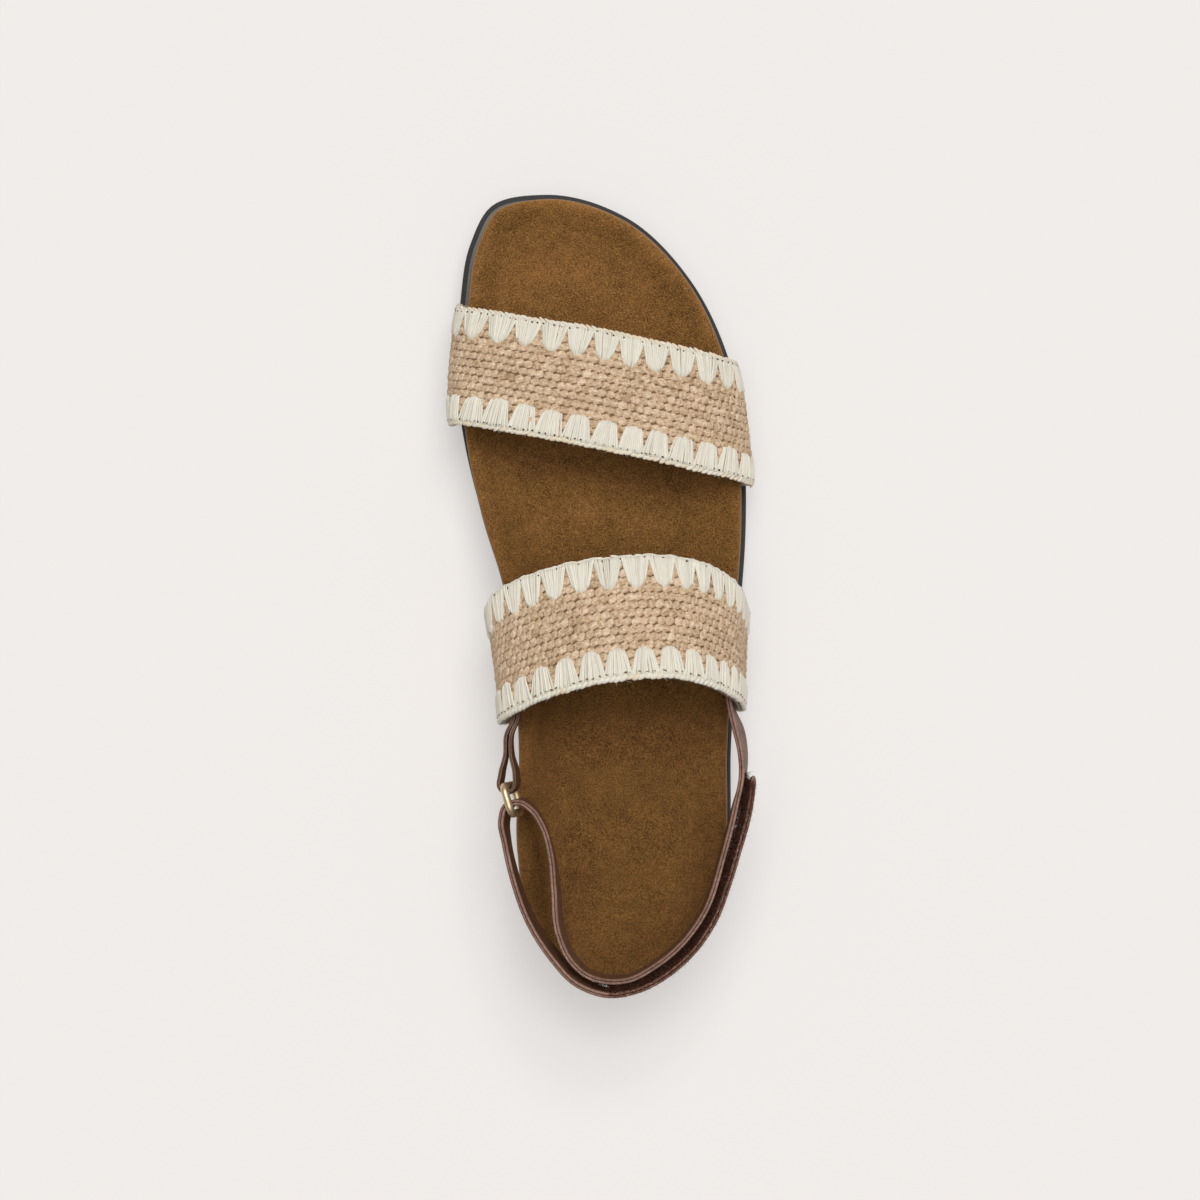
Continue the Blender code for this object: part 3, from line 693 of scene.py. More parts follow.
class StrapCloth:
    """A strap's wall as a cloth. Run goes from 0 to 1 between its slots, share from front to rear."""

    THREADS = 33
    SECTIONS = 241
    TUCK_STEPS = 8
    TUCK_RUN = 0.06

    def __init__(self, plan, strap):
        tuck = np.linspace(0.0, 2.0, self.TUCK_STEPS + 1)[:-1]
        threads = []
        for share in np.linspace(0.0, 1.0, self.THREADS):
            path = strap_path(plan, strap, share)
            last = len(path.steps)
            free = path.evenly(2.0, last - 2.0, self.SECTIONS)
            threads.append(path.at(np.concatenate([tuck, free, last - tuck[::-1]])))
        self.points = np.stack(threads, axis=1)
        start = np.linspace(-self.TUCK_RUN, 0.0, self.TUCK_STEPS + 1)[:-1]
        self.runs = np.concatenate([start, np.linspace(0.0, 1.0, self.SECTIONS), 1.0 - start[::-1]])
        self.outward = np.cross(np.gradient(self.points, axis=1), np.gradient(self.points, axis=0))
        self.outward /= np.linalg.norm(self.outward, axis=2)[:, :, None]
        free = self.points[self.TUCK_STEPS : -self.TUCK_STEPS]
        self.lengths = np.linalg.norm(np.diff(free, axis=0), axis=2).sum(axis=0)
        self.width = np.linalg.norm(free[:, -1] - free[:, 0], axis=1).mean()

    def length_at(self, share):
        """The strap's length between its slots, in millimetres, at a share of its width."""
        return np.interp(share, np.linspace(0.0, 1.0, self.THREADS), self.lengths)

    def at(self, run, share, height):
        """Places, in metres, of points by their run, their share of the width and their height."""
        column = np.interp(run, self.runs, np.arange(len(self.runs)))
        row = np.asarray(share) * (self.THREADS - 1)
        i = np.clip(column.astype(int), 0, len(self.runs) - 2)
        j = np.clip(np.floor(row).astype(int), 0, self.THREADS - 2)
        s, t = (column - i)[..., None], (row - j)[..., None]

        def mixed(field):
            low = field[i, j] * (1.0 - s) + field[i + 1, j] * s
            high = field[i, j + 1] * (1.0 - s) + field[i + 1, j + 1] * s
            return low * (1.0 - t) + high * t

        return place(mixed(self.points) + mixed(self.outward) * np.asarray(height)[..., None])


def outward_from_heel(points):
    """Level directions away from the heel's middle line."""
    across, low, high = HEEL_MIDDLE
    middle = np.column_stack([np.full(len(points), across), np.clip(points[:, 1], low, high)])
    away = points[:, :2] - middle
    return away / np.linalg.norm(away, axis=1)[:, None]


class Band:
    """A flat band on edge along rows of places: its middle, outer side and upward directions."""

    def __init__(self, rows, first, last, count):
        path = SmoothPath(rows, axes=3)
        knots = path.evenly(first, last, count)
        sections = path.at(knots)
        nudge = 0.01
        flow = path.at(np.minimum(knots + nudge, len(rows) - 1))[:, :3]
        flow -= path.at(np.maximum(knots - nudge, 0.0))[:, :3]
        lean = sections[:, 3] / (HEEL_STRAP_WIDTH / 2.0)
        self.middle = sections[:, :3]
        out = outward_from_heel(sections) * lean[:, None]
        self.upward = np.column_stack([out, np.sqrt(1.0 - lean**2)])
        self.side = np.cross(flow, self.upward)
        self.side /= np.linalg.norm(self.side, axis=1)[:, None]
        self.flow = flow / np.linalg.norm(flow, axis=1)[:, None]
        steps = np.linalg.norm(np.diff(self.middle, axis=0), axis=1)
        self.run = np.concatenate([[0.0], np.cumsum(steps)])

    def rings(self, profile, narrow=1.0, thin=1.0):
        """The band's sections: a closed profile of (out, rise), which may narrow and thin along it."""
        out, rise = np.array(profile, float).T
        narrow, thin = (np.broadcast_to(each, len(self.middle))[:, None] for each in (narrow, thin))
        spread = self.side[:, None] * (out * thin)[:, :, None]
        lift = self.upward[:, None] * (rise * narrow)[:, :, None]
        return self.middle[:, None] + spread + lift


def band_profile(width, thickness, offset=0.0):
    """A layered leather band's section, and how much of each point is raw edge."""
    half, tall = thickness / 2.0, width / 2.0
    crown = np.array([(share * half, tall - below) for share, below, _ in LEATHER_EDGE])
    face = LEATHER_FACE * (tall - LEATHER_EDGE[0][1])
    inner = np.column_stack([np.full(len(face), -half), face])
    profile = np.vstack([crown, inner, -crown, -inner])
    edge = [raw for _, _, raw in LEATHER_EDGE]
    raw = np.concatenate([edge, np.zeros(len(face)), edge, np.zeros(len(face))])
    return profile + (offset, 0.0), raw


def skin(spots, marks=None, closed=False, lining=()):
    """Skins closed rings of places, all of one length, and caps the first and the last.

    Faces in the columns of a lining take the second material.
    """
    rows, count = spots.shape[:2]
    steps = rows if closed else rows - 1
    bm = bmesh.new()
    layer = None
    if marks is not None:
        layer = bm.verts.layers.float.new("mark")
        marks = np.broadcast_to(marks, (rows, count))
    made = bmesh.ops.create_grid(bm, x_segments=count, y_segments=steps, size=0.5)["verts"]
    for face in bm.faces:
        column = int((face.calc_center_median().x + 0.5) * count)
        face.material_index = int(column in lining)
    for vert in made:
        column = round((vert.co.x + 0.5) * count) % count
        row = round((vert.co.y + 0.5) * steps) % rows
        vert.co = spots[row, column]
        if layer is not None:
            vert[layer] = marks[row, column]
    bmesh.ops.remove_doubles(bm, verts=made, dist=1e-6)
    open_edges = [edge for edge in bm.edges if edge.is_boundary]
    if open_edges:
        bmesh.ops.triangle_fill(bm, edges=open_edges, use_beauty=True)
    bmesh.ops.recalc_face_normals(bm, faces=bm.faces)
    if bm.calc_volume(signed=True) < 0.0:
        bmesh.ops.reverse_faces(bm, faces=bm.faces)
    return bm


def add_piece(mesh, materials, replaced=None):
    """Makes a finished mesh a piece that rides on the sandal, and may stand for a node."""
    piece = bpy.data.objects.new(mesh.name, mesh)
    bpy.context.scene.collection.objects.link(piece)
    for material in materials:
        mesh.materials.append(material)
    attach(piece, BODY)
    if replaced:
        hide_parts(replaced)
    return piece


def mesh_from(bm, name, sharp_angle=None):
    """A bmesh as a smooth mesh, sharp where its faces meet at more than an angle in degrees."""
    mesh = bpy.data.meshes.new(name)
    bm.to_mesh(mesh)
    bm.free()
    mesh.shade_smooth()
    if sharp_angle:
        mesh.set_sharp_from_angle(angle=math.radians(sharp_angle))
    return mesh


class Template:
    """A small closed shape that is copied many times: its points and its faces."""

    def __init__(self, bm):
        bm.verts.ensure_lookup_table()
        bm.verts.index_update()
        self.points = np.array([vert.co for vert in bm.verts])
        self.faces = [[vert.index for vert in face.verts] for face in bm.faces]
        bm.free()

    @classmethod
    def grain(cls, around=8, rings=5, plump=1.0):
        """A seed of radius one, lying along X. Below one, plump swells its corners."""
        bm = bmesh.new()
        bmesh.ops.create_uvsphere(bm, u_segments=around, v_segments=rings, radius=1.0)
        quarter = Matrix.Rotation(math.radians(90.0), 3, "Y")
        bmesh.ops.rotate(bm, verts=bm.verts, cent=(0.0, 0.0, 0.0), matrix=quarter)
        made = cls(bm)
        made.points = np.sign(made.points) * np.abs(made.points) ** plump
        return made

    @classmethod
    def strand(cls, around=6, steps=7, tip=1.0):
        """A rod of radius one that runs from 0 to 1 along Z, cut into steps."""
        bm = bmesh.new()
        bmesh.ops.create_cone(
            bm, cap_ends=True, segments=around, radius1=1.0, radius2=tip, depth=1.0
        )
        bmesh.ops.translate(bm, verts=bm.verts, vec=(0.0, 0.0, 0.5))
        for step in range(1, steps):
            everything = [*bm.verts, *bm.edges, *bm.faces]
            cut = (0.0, 0.0, step / steps)
            bmesh.ops.bisect_plane(bm, geom=everything, plane_co=cut, plane_no=(0.0, 0.0, 1.0))
        return cls(bm)


def join_copies(name, template, *groups):
    """One mesh of copies in groups, each with its points' places, its copies' tones and its fibres."""
    places, tone, fibre = (np.concatenate(each) for each in zip(*groups))
    copies, count = places.shape[:2]
    faces = [[i + copy * count for i in face] for copy in range(copies) for face in template.faces]
    mesh = bpy.data.meshes.new(name)
    mesh.from_pydata(places.reshape(-1, 3).tolist(), [], faces)
    tones = mesh.attributes.new("tone", "FLOAT", "POINT")
    tones.data.foreach_set("value", np.repeat(tone, count).astype(np.float32))
    corners = np.empty(len(mesh.loops), np.int32)
    mesh.loops.foreach_get("vertex_index", corners)
    layer = mesh.uv_layers.new(name="fibre")
    layer.data.foreach_set("uv", fibre.reshape(-1, 2)[corners].astype(np.float32).ravel())
    bm = bmesh.new()
    bm.from_mesh(mesh)
    bmesh.ops.recalc_face_normals(bm, faces=bm.faces)
    bm.to_mesh(mesh)
    bm.free()
    mesh.shade_smooth()
    return mesh


def grains_on(cloth, template, run, from_front, height, size, slant, tone):
    """A group of seeds that lie on a strap. Their sizes are half lengths in millimetres."""
    long, wide, tall = (np.broadcast_to(s, run.shape)[:, None] for s in size)
    x, y, z = (template.points[None, :, axis] for axis in range(3))
    turn = np.broadcast_to(slant, run.shape)[:, None]
    along = x * long * np.cos(turn) - y * wide * np.sin(turn)
    across = x * long * np.sin(turn) + y * wide * np.cos(turn)
    droop = GRAIN_DROOP * tall * x**2
    share = (from_front[:, None] + across) / cloth.width
    runs = run[:, None] + along / cloth.length_at(share)
    places = cloth.at(runs, share, height[:, None] + z * tall - droop)
    shift = np.arange(len(run))[:, None] * FIBRE_STEP
    fibre = np.stack([x * long + shift, y * wide + z * tall * STITCH_SIDE + shift], axis=2)
    return places, tone, fibre


# Materials


def tint(value, strength=1.0):
    """A colour property as a socket's four numbers, darkened or lightened."""
    return (*(min(1.0, channel * strength) for channel in value), 1.0)


def add_node(tree, kind, values=None, **settings):
    """Adds a node, its settings and its inputs, each a number, a colour or another node's output."""
    made = tree.nodes.new(kind)
    for name, value in settings.items():
        setattr(made, name, value)
    for socket, value in (values or {}).items():
        if isinstance(value, bpy.types.NodeSocket):
            tree.links.new(value, made.inputs[socket])
        else:
            made.inputs[socket].default_value = value
    return made


def effect_group(fill, inputs):
    """A node group that is made once: its fill adds the nodes and gives its outputs by name."""
    found = bpy.data.node_groups.get(fill.__name__)
    if found:
        return found
    group = bpy.data.node_groups.new(fill.__name__, "ShaderNodeTree")
    for name in inputs:
        kind = "NodeSocketVector" if name == "Vector" else "NodeSocketFloat"
        group.interface.new_socket(name, in_out="INPUT", socket_type=kind)
    made = fill(group, group.nodes.new("NodeGroupInput").outputs)
    for name in made:
        group.interface.new_socket(name, in_out="OUTPUT", socket_type="NodeSocketFloat")
    add_node(group, "NodeGroupOutput", made)
    return group


def soft_patches(group, given):
    """Soft uneven patches, as in nap, hide and worn metal."""
    wave = add_node(group, "ShaderNodeTexNoise", {
        "Vector": given["Vector"], "Scale": given["Scale"], "Detail": 4.0, "Roughness": 0.6,
    }).outputs[0]
    centred = add_node(group, "ShaderNodeMath", {0: wave, 1: 0.5}, operation="SUBTRACT").outputs[0]
    spread = {0: centred, 1: given["Spread"], 2: 0.5}
    tone = add_node(group, "ShaderNodeMath", spread, operation="MULTIPLY_ADD", use_clamp=True)
    return {"Tone": tone.outputs[0]}


def fine_pores(group, given):
    """Fine cells with sunken borders, as on hide, cork and moulded rubber."""
    spot, scale = given["Vector"], given["Scale"]
    wave = add_node(group, "ShaderNodeTexNoise", {"Vector": spot, "Scale": scale, "Detail": 2.0})
    reach = {0: wave.outputs[1], 1: (0.0012, 0.0012, 0.0012)}
    nudge = add_node(group, "ShaderNodeVectorMath", reach, operation="MULTIPLY").outputs[0]
    moved = add_node(group, "ShaderNodeVectorMath", {0: spot, 1: nudge}, operation="ADD").outputs[0]
    grid = {"Vector": moved, "Scale": scale}
    edges = add_node(group, "ShaderNodeTexVoronoi", grid, feature="DISTANCE_TO_EDGE")
    cells = add_node(group, "ShaderNodeTexVoronoi", grid)
    shade = add_node(group, "ShaderNodeSeparateColor", {0: cells.outputs["Color"]})
    walls = add_node(group, "ShaderNodeMapRange", {
        "Value": edges.outputs["Distance"], "From Min": 0.0, "From Max": 0.18,
    }, interpolation_type="SMOOTHSTEP")
    return {"Height": walls.outputs[0], "Cell": shade.outputs[0]}


def strand_fibres(group, given):
    """Streaks along a strand, read from its fibre coordinates in millimetres."""
    stretch = {0: given["Vector"], 1: (0.35, 3.0, 1.0)}
    drawn_out = add_node(group, "ShaderNodeVectorMath", stretch, operation="MULTIPLY").outputs[0]
    wave = add_node(group, "ShaderNodeTexNoise", {
        "Vector": drawn_out, "Scale": 1.0, "Detail": 3.0, "Roughness": 0.65,
    }).outputs[0]
    sharp = add_node(group, "ShaderNodeMapRange", {"Value": wave, "From Min": 0.3, "From Max": 0.7})
    return {"Streak": sharp.outputs[0]}


class Finish:
    """A material being made: its tree, its shader and its object coordinates."""

    def __init__(self, name, **constants):
        self.material = bpy.data.materials.new(name)
        self.material.use_nodes = True
        self.tree = self.material.node_tree
        self.shader = self.tree.nodes["Principled BSDF"]
        self.spot = self.add("ShaderNodeTexCoord").outputs["Object"]
        for socket, value in constants.items():
            self.shader.inputs[socket.replace("_", " ")].default_value = value

    def add(self, kind, values=None, **settings):
        """Adds a node to the material's tree."""
        return add_node(self.tree, kind, values, **settings)

    def effect(self, fill, **inputs):
        """The outputs of the node group that a fill makes."""
        return self.add("ShaderNodeGroup", inputs, node_tree=effect_group(fill, inputs)).outputs

    def patches(self, scale, spread=2.0):
        """Soft patches on the object, from 0 to 1."""
        return self.effect(soft_patches, Vector=self.spot, Scale=scale, Spread=spread)["Tone"]

    def pores(self, scale):
        """Fine pores on the object: the height of their walls and each cell's own tone."""
        return self.effect(fine_pores, Vector=self.spot, Scale=scale)

    def streaks(self):
        """Streaks along the piece's strands."""
        strand = self.add("ShaderNodeUVMap", uv_map="fibre").outputs[0]
        return self.effect(strand_fibres, Vector=strand)["Streak"]

    def attribute(self, name):
        """A number that the mesh carries at its points."""
        return self.add("ShaderNodeAttribute", attribute_name=name).outputs["Fac"]

    def mix(self, factor, first, second, blend="MIX"):
        """Two colours mixed by a factor."""
        values = {0: factor, 6: first, 7: second}
        return self.add("ShaderNodeMix", values, data_type="RGBA", blend_type=blend).outputs[2]

    def sum(self, *terms):
        """Adds up values round one half, each given with its middle and its weight."""
        total = 0.5
        for value, middle, weight in terms:
            centred = self.add("ShaderNodeMath", {0: value, 1: middle}, operation="SUBTRACT").outputs[0]
            weighed = {0: centred, 1: weight, 2: total}
            total = self.add("ShaderNodeMath", weighed, operation="MULTIPLY_ADD").outputs[0]
        return total

    def ramp(self, factor, *stops):
        """Colours along a ramp, each with its place."""
        made = self.add("ShaderNodeValToRGB", {0: factor})
        marks = made.color_ramp.elements
        while len(marks) < len(stops):
            marks.new(0.5)
        for mark, (position, colour) in zip(marks, stops):
            mark.position = position
            mark.color = colour
        return made.outputs[0]

    def span(self, value, low, high, to_low=0.0, to_high=1.0):
        """A value moved from one range to another, and kept within it."""
        return self.add("ShaderNodeMapRange", {
            "Value": value, "From Min": low, "From Max": high, "To Min": to_low, "To Max": to_high,
        }).outputs[0]

    def colour(self, socket):
        """Links the shader's colour."""
        self.tree.links.new(socket, self.shader.inputs["Base Color"])

    def roughness(self, socket):
        """Links the shader's roughness."""
        self.tree.links.new(socket, self.shader.inputs["Roughness"])

    def bump(self, *layers):
        """Stacks bumps, each a height socket with its depth in metres."""
        normal = None
        for height, depth in layers:
            values = {"Height": height, "Distance": depth, "Strength": 1.0}
            if normal:
                values["Normal"] = normal
            normal = self.add("ShaderNodeBump", values).outputs[0]
        self.tree.links.new(normal, self.shader.inputs["Normal"])


def suede_finish(colours):
    """Brushed suede: lighter and warmer at the toe, partly painted light, mottled nap, a paler raw edge with
    a painted highlight, painted light and shade round the rim and in patches.
    """
    finish = Finish(
        "brown suede", Roughness=0.95, Specular_IOR_Level=0.15, Sheen_Weight=0.35, Sheen_Roughness=0.5,
        Sheen_Tint=tint(colours.suede_toe, 2.2),
    )
    # Lighter and warmer towards the toe: partly the suede's own tone, partly painted light
    length = finish.add("ShaderNodeSeparateXYZ", {0: finish.spot}).outputs["Y"]
    toe = finish.span(length, -0.10, 0.10)
    hide = finish.mix(toe, tint(colours.suede_heel), tint(colours.suede_toe))
    broad, nap = finish.patches(60.0, 2.4), finish.patches(330.0, 2.4)
    grain = finish.patches(2300.0, 4.0)
    # The mark carries the pale raw edge and the painted light and shade of the suede's bands and patches
    edge_and_light_mark = finish.attribute("mark")
    tone = finish.sum((broad, 0.5, 0.24), (nap, 0.5, 0.26), (grain, 0.5, 0.80), (edge_and_light_mark, 0.0, 0.5))
    shade = finish.span(tone, 0.0, 1.0, 0.30, 1.70)
    brushed = finish.mix(1.0, hide, shade, "MULTIPLY")
    # The palest marks take the raw edge's colour, partly a painted highlight on the rim
    raw_edge_and_highlight = finish.span(edge_and_light_mark, 0.55, 1.0)
    finish.colour(finish.mix(raw_edge_and_highlight, brushed, tint(colours.suede_edge_highlight)))
    finish.bump((grain, 0.00025), (nap, 0.0002))
    return finish.material


def rubber_finish(colours):
    """Black foamed rubber with a moulded grain and a little dust, and a painted highlight on the ledge."""
    finish = Finish("black sole rubber", Specular_IOR_Level=0.35)
    cells = finish.pores(900.0)
    dust = finish.patches(60.0, 2.4)
    body = finish.mix(dust, tint(colours.rubber, 0.75), tint(colours.rubber, 1.3))
    # The ledge's paler grey is a painted highlight, varied by the dust patches
    ledge = finish.mix(dust, tint(colours.rubber_ledge_highlight, 0.8), tint(colours.rubber_ledge_highlight, 1.2))
    finish.colour(finish.mix(finish.attribute("mark"), body, ledge))
    finish.roughness(finish.span(dust, 0.0, 1.0, 0.55, 0.8))
    finish.bump((cells["Height"], 0.00005), (finish.patches(700.0), 0.00008))
    return finish.material


def cork_finish(colours):
    """Pressed cork: granules of many browns with dark crumbs and open pits."""
    finish = Finish("cork", Roughness=0.85, Specular_IOR_Level=0.25)
    chips, crumbs, flecks = finish.pores(620.0), finish.pores(1500.0), finish.patches(850.0, 3.2)
    tone = finish.sum((chips["Cell"], 0.5, 0.45), (crumbs["Cell"], 0.5, 0.35), (flecks, 0.5, 0.75))
    body = finish.ramp(
        tone, (0.0, tint(colours.cork_dark)), (0.25, tint(colours.cork, 0.62)),
        (0.5, tint(colours.cork, 0.95)), (1.0, tint(colours.cork, 1.4)),
    )
    border = finish.span(chips["Height"], 0.0, 0.6, 0.62, 1.0)
    finish.colour(finish.mix(border, tint(colours.cork_dark), body))
    finish.bump((chips["Height"], 0.0002), (flecks, 0.00025))
    return finish.material


def straw_finish(colours):
    """Twined straw: each stitch has its own tan, streaked along its fibres."""
    finish = Finish("twined straw", Roughness=0.7, Specular_IOR_Level=0.3)
    tone, streak, fleck = finish.attribute("tone"), finish.streaks(), finish.patches(1000.0, 3.0)
    shade = finish.sum((tone, 0.5, 0.45), (fleck, 0.5, 0.85), (streak, 0.5, 0.45))
    finish.colour(finish.ramp(
        shade, (0.0, tint(colours.straw_deep, 1.2)), (0.28, tint(colours.straw, 0.76)),
        (0.48, tint(colours.straw, 0.93)), (0.66, tint(colours.straw_rose)),
        (0.95, tint(colours.straw_pale, 1.05)),
    ))
    finish.bump((streak, 0.00012), (fleck, 0.00015))
    return finish.material


def ground_shade_finish(colours):
    """The ground that shows between the stitches, darkened with painted shade."""
    finish = Finish("straw ground", Roughness=0.9, Specular_IOR_Level=0.2)
    threads = finish.patches(900.0)
    # Darker than the straw: painted shade in the gaps between stitches
    finish.colour(finish.mix(threads, tint(colours.straw_deep, 0.35), tint(colours.straw_deep, 0.7)))
    finish.bump((threads, 0.0002))
    return finish.material


def lining_finish(colours):
    """A pale grey woven lining under the straps."""
    finish = Finish("strap lining", Roughness=0.9, Specular_IOR_Level=0.2)
    threads, soil = finish.patches(1500.0), finish.patches(80.0)
    tone = finish.sum((threads, 0.5, 0.5), (soil, 0.5, 0.4))
    finish.colour(finish.mix(tone, tint(colours.lining, 0.8), tint(colours.lining, 1.1)))
    finish.bump((threads, 0.00015))
    return finish.material


def raffia_finish(colours, name, shaded):
    """Pale raffia strands with a soft gloss and fine streaks along them; some are shaded."""
    finish = Finish(name, Roughness=0.55, Specular_IOR_Level=0.35, Sheen_Weight=0.15)
    tone, streak = finish.attribute("tone"), finish.streaks()
    base = finish.ramp(
        tone, (0.0, shaded), (0.5, tint(colours.raffia)), (1.0, tint(colours.raffia, 1.08))
    )
    finish.colour(finish.mix(finish.span(streak, 0.0, 1.0, 0.30, 0.0), base, tint(colours.raffia_shade)))
    finish.bump((streak, 0.0001))
    return finish.material


def hole_finish(colours):
    """The shadowed needle holes along the edges."""
    finish = Finish("needle hole", Roughness=0.95, Specular_IOR_Level=0.1)
    tone, depth = finish.attribute("tone"), finish.patches(2500.0)
    # Dark tones are painted shade in the holes, pale tones tan thread
    finish.colour(finish.mix(tone, tint(colours.straw_deep, 0.18), tint(colours.straw_deep, 0.75)))
    finish.bump((depth, 0.0001))
    return finish.material


def leather_finish(colours, name, strength=1.0):
    """Smooth brown leather with fine grain; its raw edges are paler and duller."""
    finish = Finish(name, Specular_IOR_Level=0.25, Coat_Weight=0.04, Coat_Roughness=0.4)
    cells, rub = finish.pores(1100.0), finish.patches(140.0, 2.0)
    edge, streak = finish.attribute("mark"), finish.patches(800.0, 2.6)
    tone = finish.sum((rub, 0.5, 0.55), (streak, 0.5, 0.5), (cells["Height"], 0.7, 0.25))
    face = finish.mix(tone, tint(colours.leather, 0.62 * strength), tint(colours.leather, 1.35 * strength))
    raw = finish.mix(tone, tint(colours.leather_edge, 0.45), tint(colours.leather_edge, 1.4))
    worn = finish.mix(edge, face, raw)
    seam = finish.span(edge, -0.7, 0.1, 0.8, 0.0)
    finish.colour(finish.mix(seam, worn, tint(colours.leather, 0.3)))
    finish.roughness(finish.span(tone, 0.0, 1.0, 0.62, 0.42))
    finish.bump((cells["Height"], 0.00007), (streak, 0.0001))
    return finish.material


def pile_finish(colours):
    """Dark looped pile, from near black to a reddish brown."""
    finish = Finish("dark pile", Roughness=0.9, Specular_IOR_Level=0.2)
    tone = finish.attribute("tone")
    finish.colour(finish.ramp(
        tone, (0.0, tint(colours.pile, 0.45)), (0.45, tint(colours.pile)),
        (0.95, tint(colours.pile_rust)), (1.0, tint(colours.pile_lint)),
    ))
    return finish.material


def brass_finish(colours):
    """Aged brass: bright and browned in patches, fine scratches."""
    finish = Finish("aged brass", Metallic=1.0)
    age, scratch = finish.patches(260.0, 2.6), finish.patches(2400.0, 2.0)
    finish.colour(finish.mix(age, tint(colours.brass), tint(colours.brass_aged)))
    finish.roughness(finish.span(age, 0.0, 1.0, 0.42, 0.58))
    finish.bump((scratch, 0.00002))
    return finish.material


def floor_finish(colours):
    """A plain pale studio floor, lit from below as much as from above."""
    finish = Finish(
        "pale floor", Roughness=0.9, Specular_IOR_Level=0.0, Emission_Strength=FLOOR_GLOW,
        Emission_Color=tint(colours.floor),
    )
    tone = finish.patches(8.0, 0.6)
    lit = 1.0 - FLOOR_GLOW
    finish.colour(finish.mix(tone, tint(colours.floor, 0.995 * lit), tint(colours.floor, lit)))
    return finish.material


def length_of(name, description, default):
    """A property that is a length in metres."""
    return FloatProperty(name=name, description=description, default=default, min=0.0, unit="LENGTH")


def colour_of(name, description, default):
    """A property that is a colour."""
    return FloatVectorProperty(
        name=name, description=description, default=default, size=3, min=0.0, max=1.0, subtype="COLOR"
    )


class SandalSizes(bpy.types.PropertyGroup):
    """Sizes of the sandal's fine detail"""

    ring_points: IntProperty(
        name="Ring points", description="Points round the sole and footbed", default=300, min=60
    )
    stitch_pitch: length_of("Stitch pitch", "Length of one stitch along its row", 0.0026)
    row_pitch: length_of("Row pitch", "Distance between two rows of stitches", 0.0025)
    stitch_slant: FloatProperty(
        name="Stitch slant", description="Turn of a stitch out of its row", default=0.35, subtype="ANGLE"
    )
    fan_depth: length_of("Fan depth", "How far a fan of strands reaches in from the edge", 0.0102)
    fan_foot: FloatProperty(
        name="Fan foot", description="Width of a fan at the edge, as a share of its pitch", default=0.97
    )
    fan_strands: IntProperty(name="Fan strands", description="Strands in each fan", default=12, min=3)
    strand_width: length_of("Strand width", "Width of one pale strand", 0.00088)
    cord_pitch: length_of("Cord pitch", "Length of one turn of the edge cord", 0.0018)
    pile_length: length_of("Pile length", "Length of a hair of the tape's pile", 0.0019)
    camera_distance: length_of("Camera distance", "From the camera to the footbed's level", 1.6)
    floor_width: length_of("Floor width", "Side of the studio floor", 6.0)


class SandalColours(bpy.types.PropertyGroup):
    """Colours of the sandal's finishes"""

    suede_toe: colour_of("Suede at the toe", "Suede's colour at the toe", (0.275, 0.130, 0.037))
    suede_heel: colour_of("Suede at the heel", "Suede's colour at the heel", (0.170, 0.079, 0.022))
    # The raw cut edge, paler partly as a painted highlight on the rim
    suede_edge_highlight: colour_of("Suede edge", "The suede's raw cut edge", (0.36, 0.25, 0.165))
    rubber: colour_of("Rubber", "The sole's rubber", (0.040, 0.040, 0.041))
    # Paler grey of a painted highlight on the ledge's top
    rubber_ledge_highlight: colour_of("Rubber ledge", "The dusty ledge beside the footbed", (0.21, 0.195, 0.17))
    cork: colour_of("Cork", "The footbed's cork", (0.44, 0.27, 0.14))
    cork_dark: colour_of("Cork crumbs", "Dark crumbs and pits in the cork", (0.12, 0.062, 0.030))
    straw: colour_of("Straw", "Most stitches of the weave", (0.74, 0.535, 0.335))
    straw_rose: colour_of("Rosy straw", "Some stitches are rosier", (0.76, 0.535, 0.370))
    straw_pale: colour_of("Pale straw", "Some stitches are paler", (0.86, 0.700, 0.490))
    straw_deep: colour_of("Deep straw", "Streaks and the ground between stitches", (0.36, 0.215, 0.11))
    raffia: colour_of("Raffia", "The pale strands of the edges", (0.86, 0.815, 0.70))
    cord: colour_of("Edge cord", "The cords along the straps' edges", (0.86, 0.72, 0.52))
    raffia_shade: colour_of("Raffia shade", "Streaks in the pale strands", (0.62, 0.55, 0.42))
    lining: colour_of("Lining", "The straps' lining", (0.52, 0.48, 0.43))
    leather: colour_of("Leather", "Faces of the leather bands", (0.172, 0.080, 0.042))
    leather_edge: colour_of("Leather edge", "Raw edges of the leather bands", (0.35, 0.205, 0.160))
    pile: colour_of("Pile", "The tape's pile", (0.062, 0.022, 0.012))
    pile_rust: colour_of("Rust pile", "Reddish hairs in the pile", (0.20, 0.075, 0.042))
    pile_lint: colour_of("Lint", "Pale hairs in the pile", (0.30, 0.27, 0.25))
    brass: colour_of("Brass", "Worn brass", (0.82, 0.65, 0.40))
    brass_aged: colour_of("Aged brass", "Browned brass", (0.50, 0.36, 0.20))
    floor: colour_of("Floor", "The studio floor", (0.879, 0.847, 0.823))


def settings(context):
    """The scene's sizes and colours."""
    return context.scene.sandal_sizes, context.scene.sandal_colours


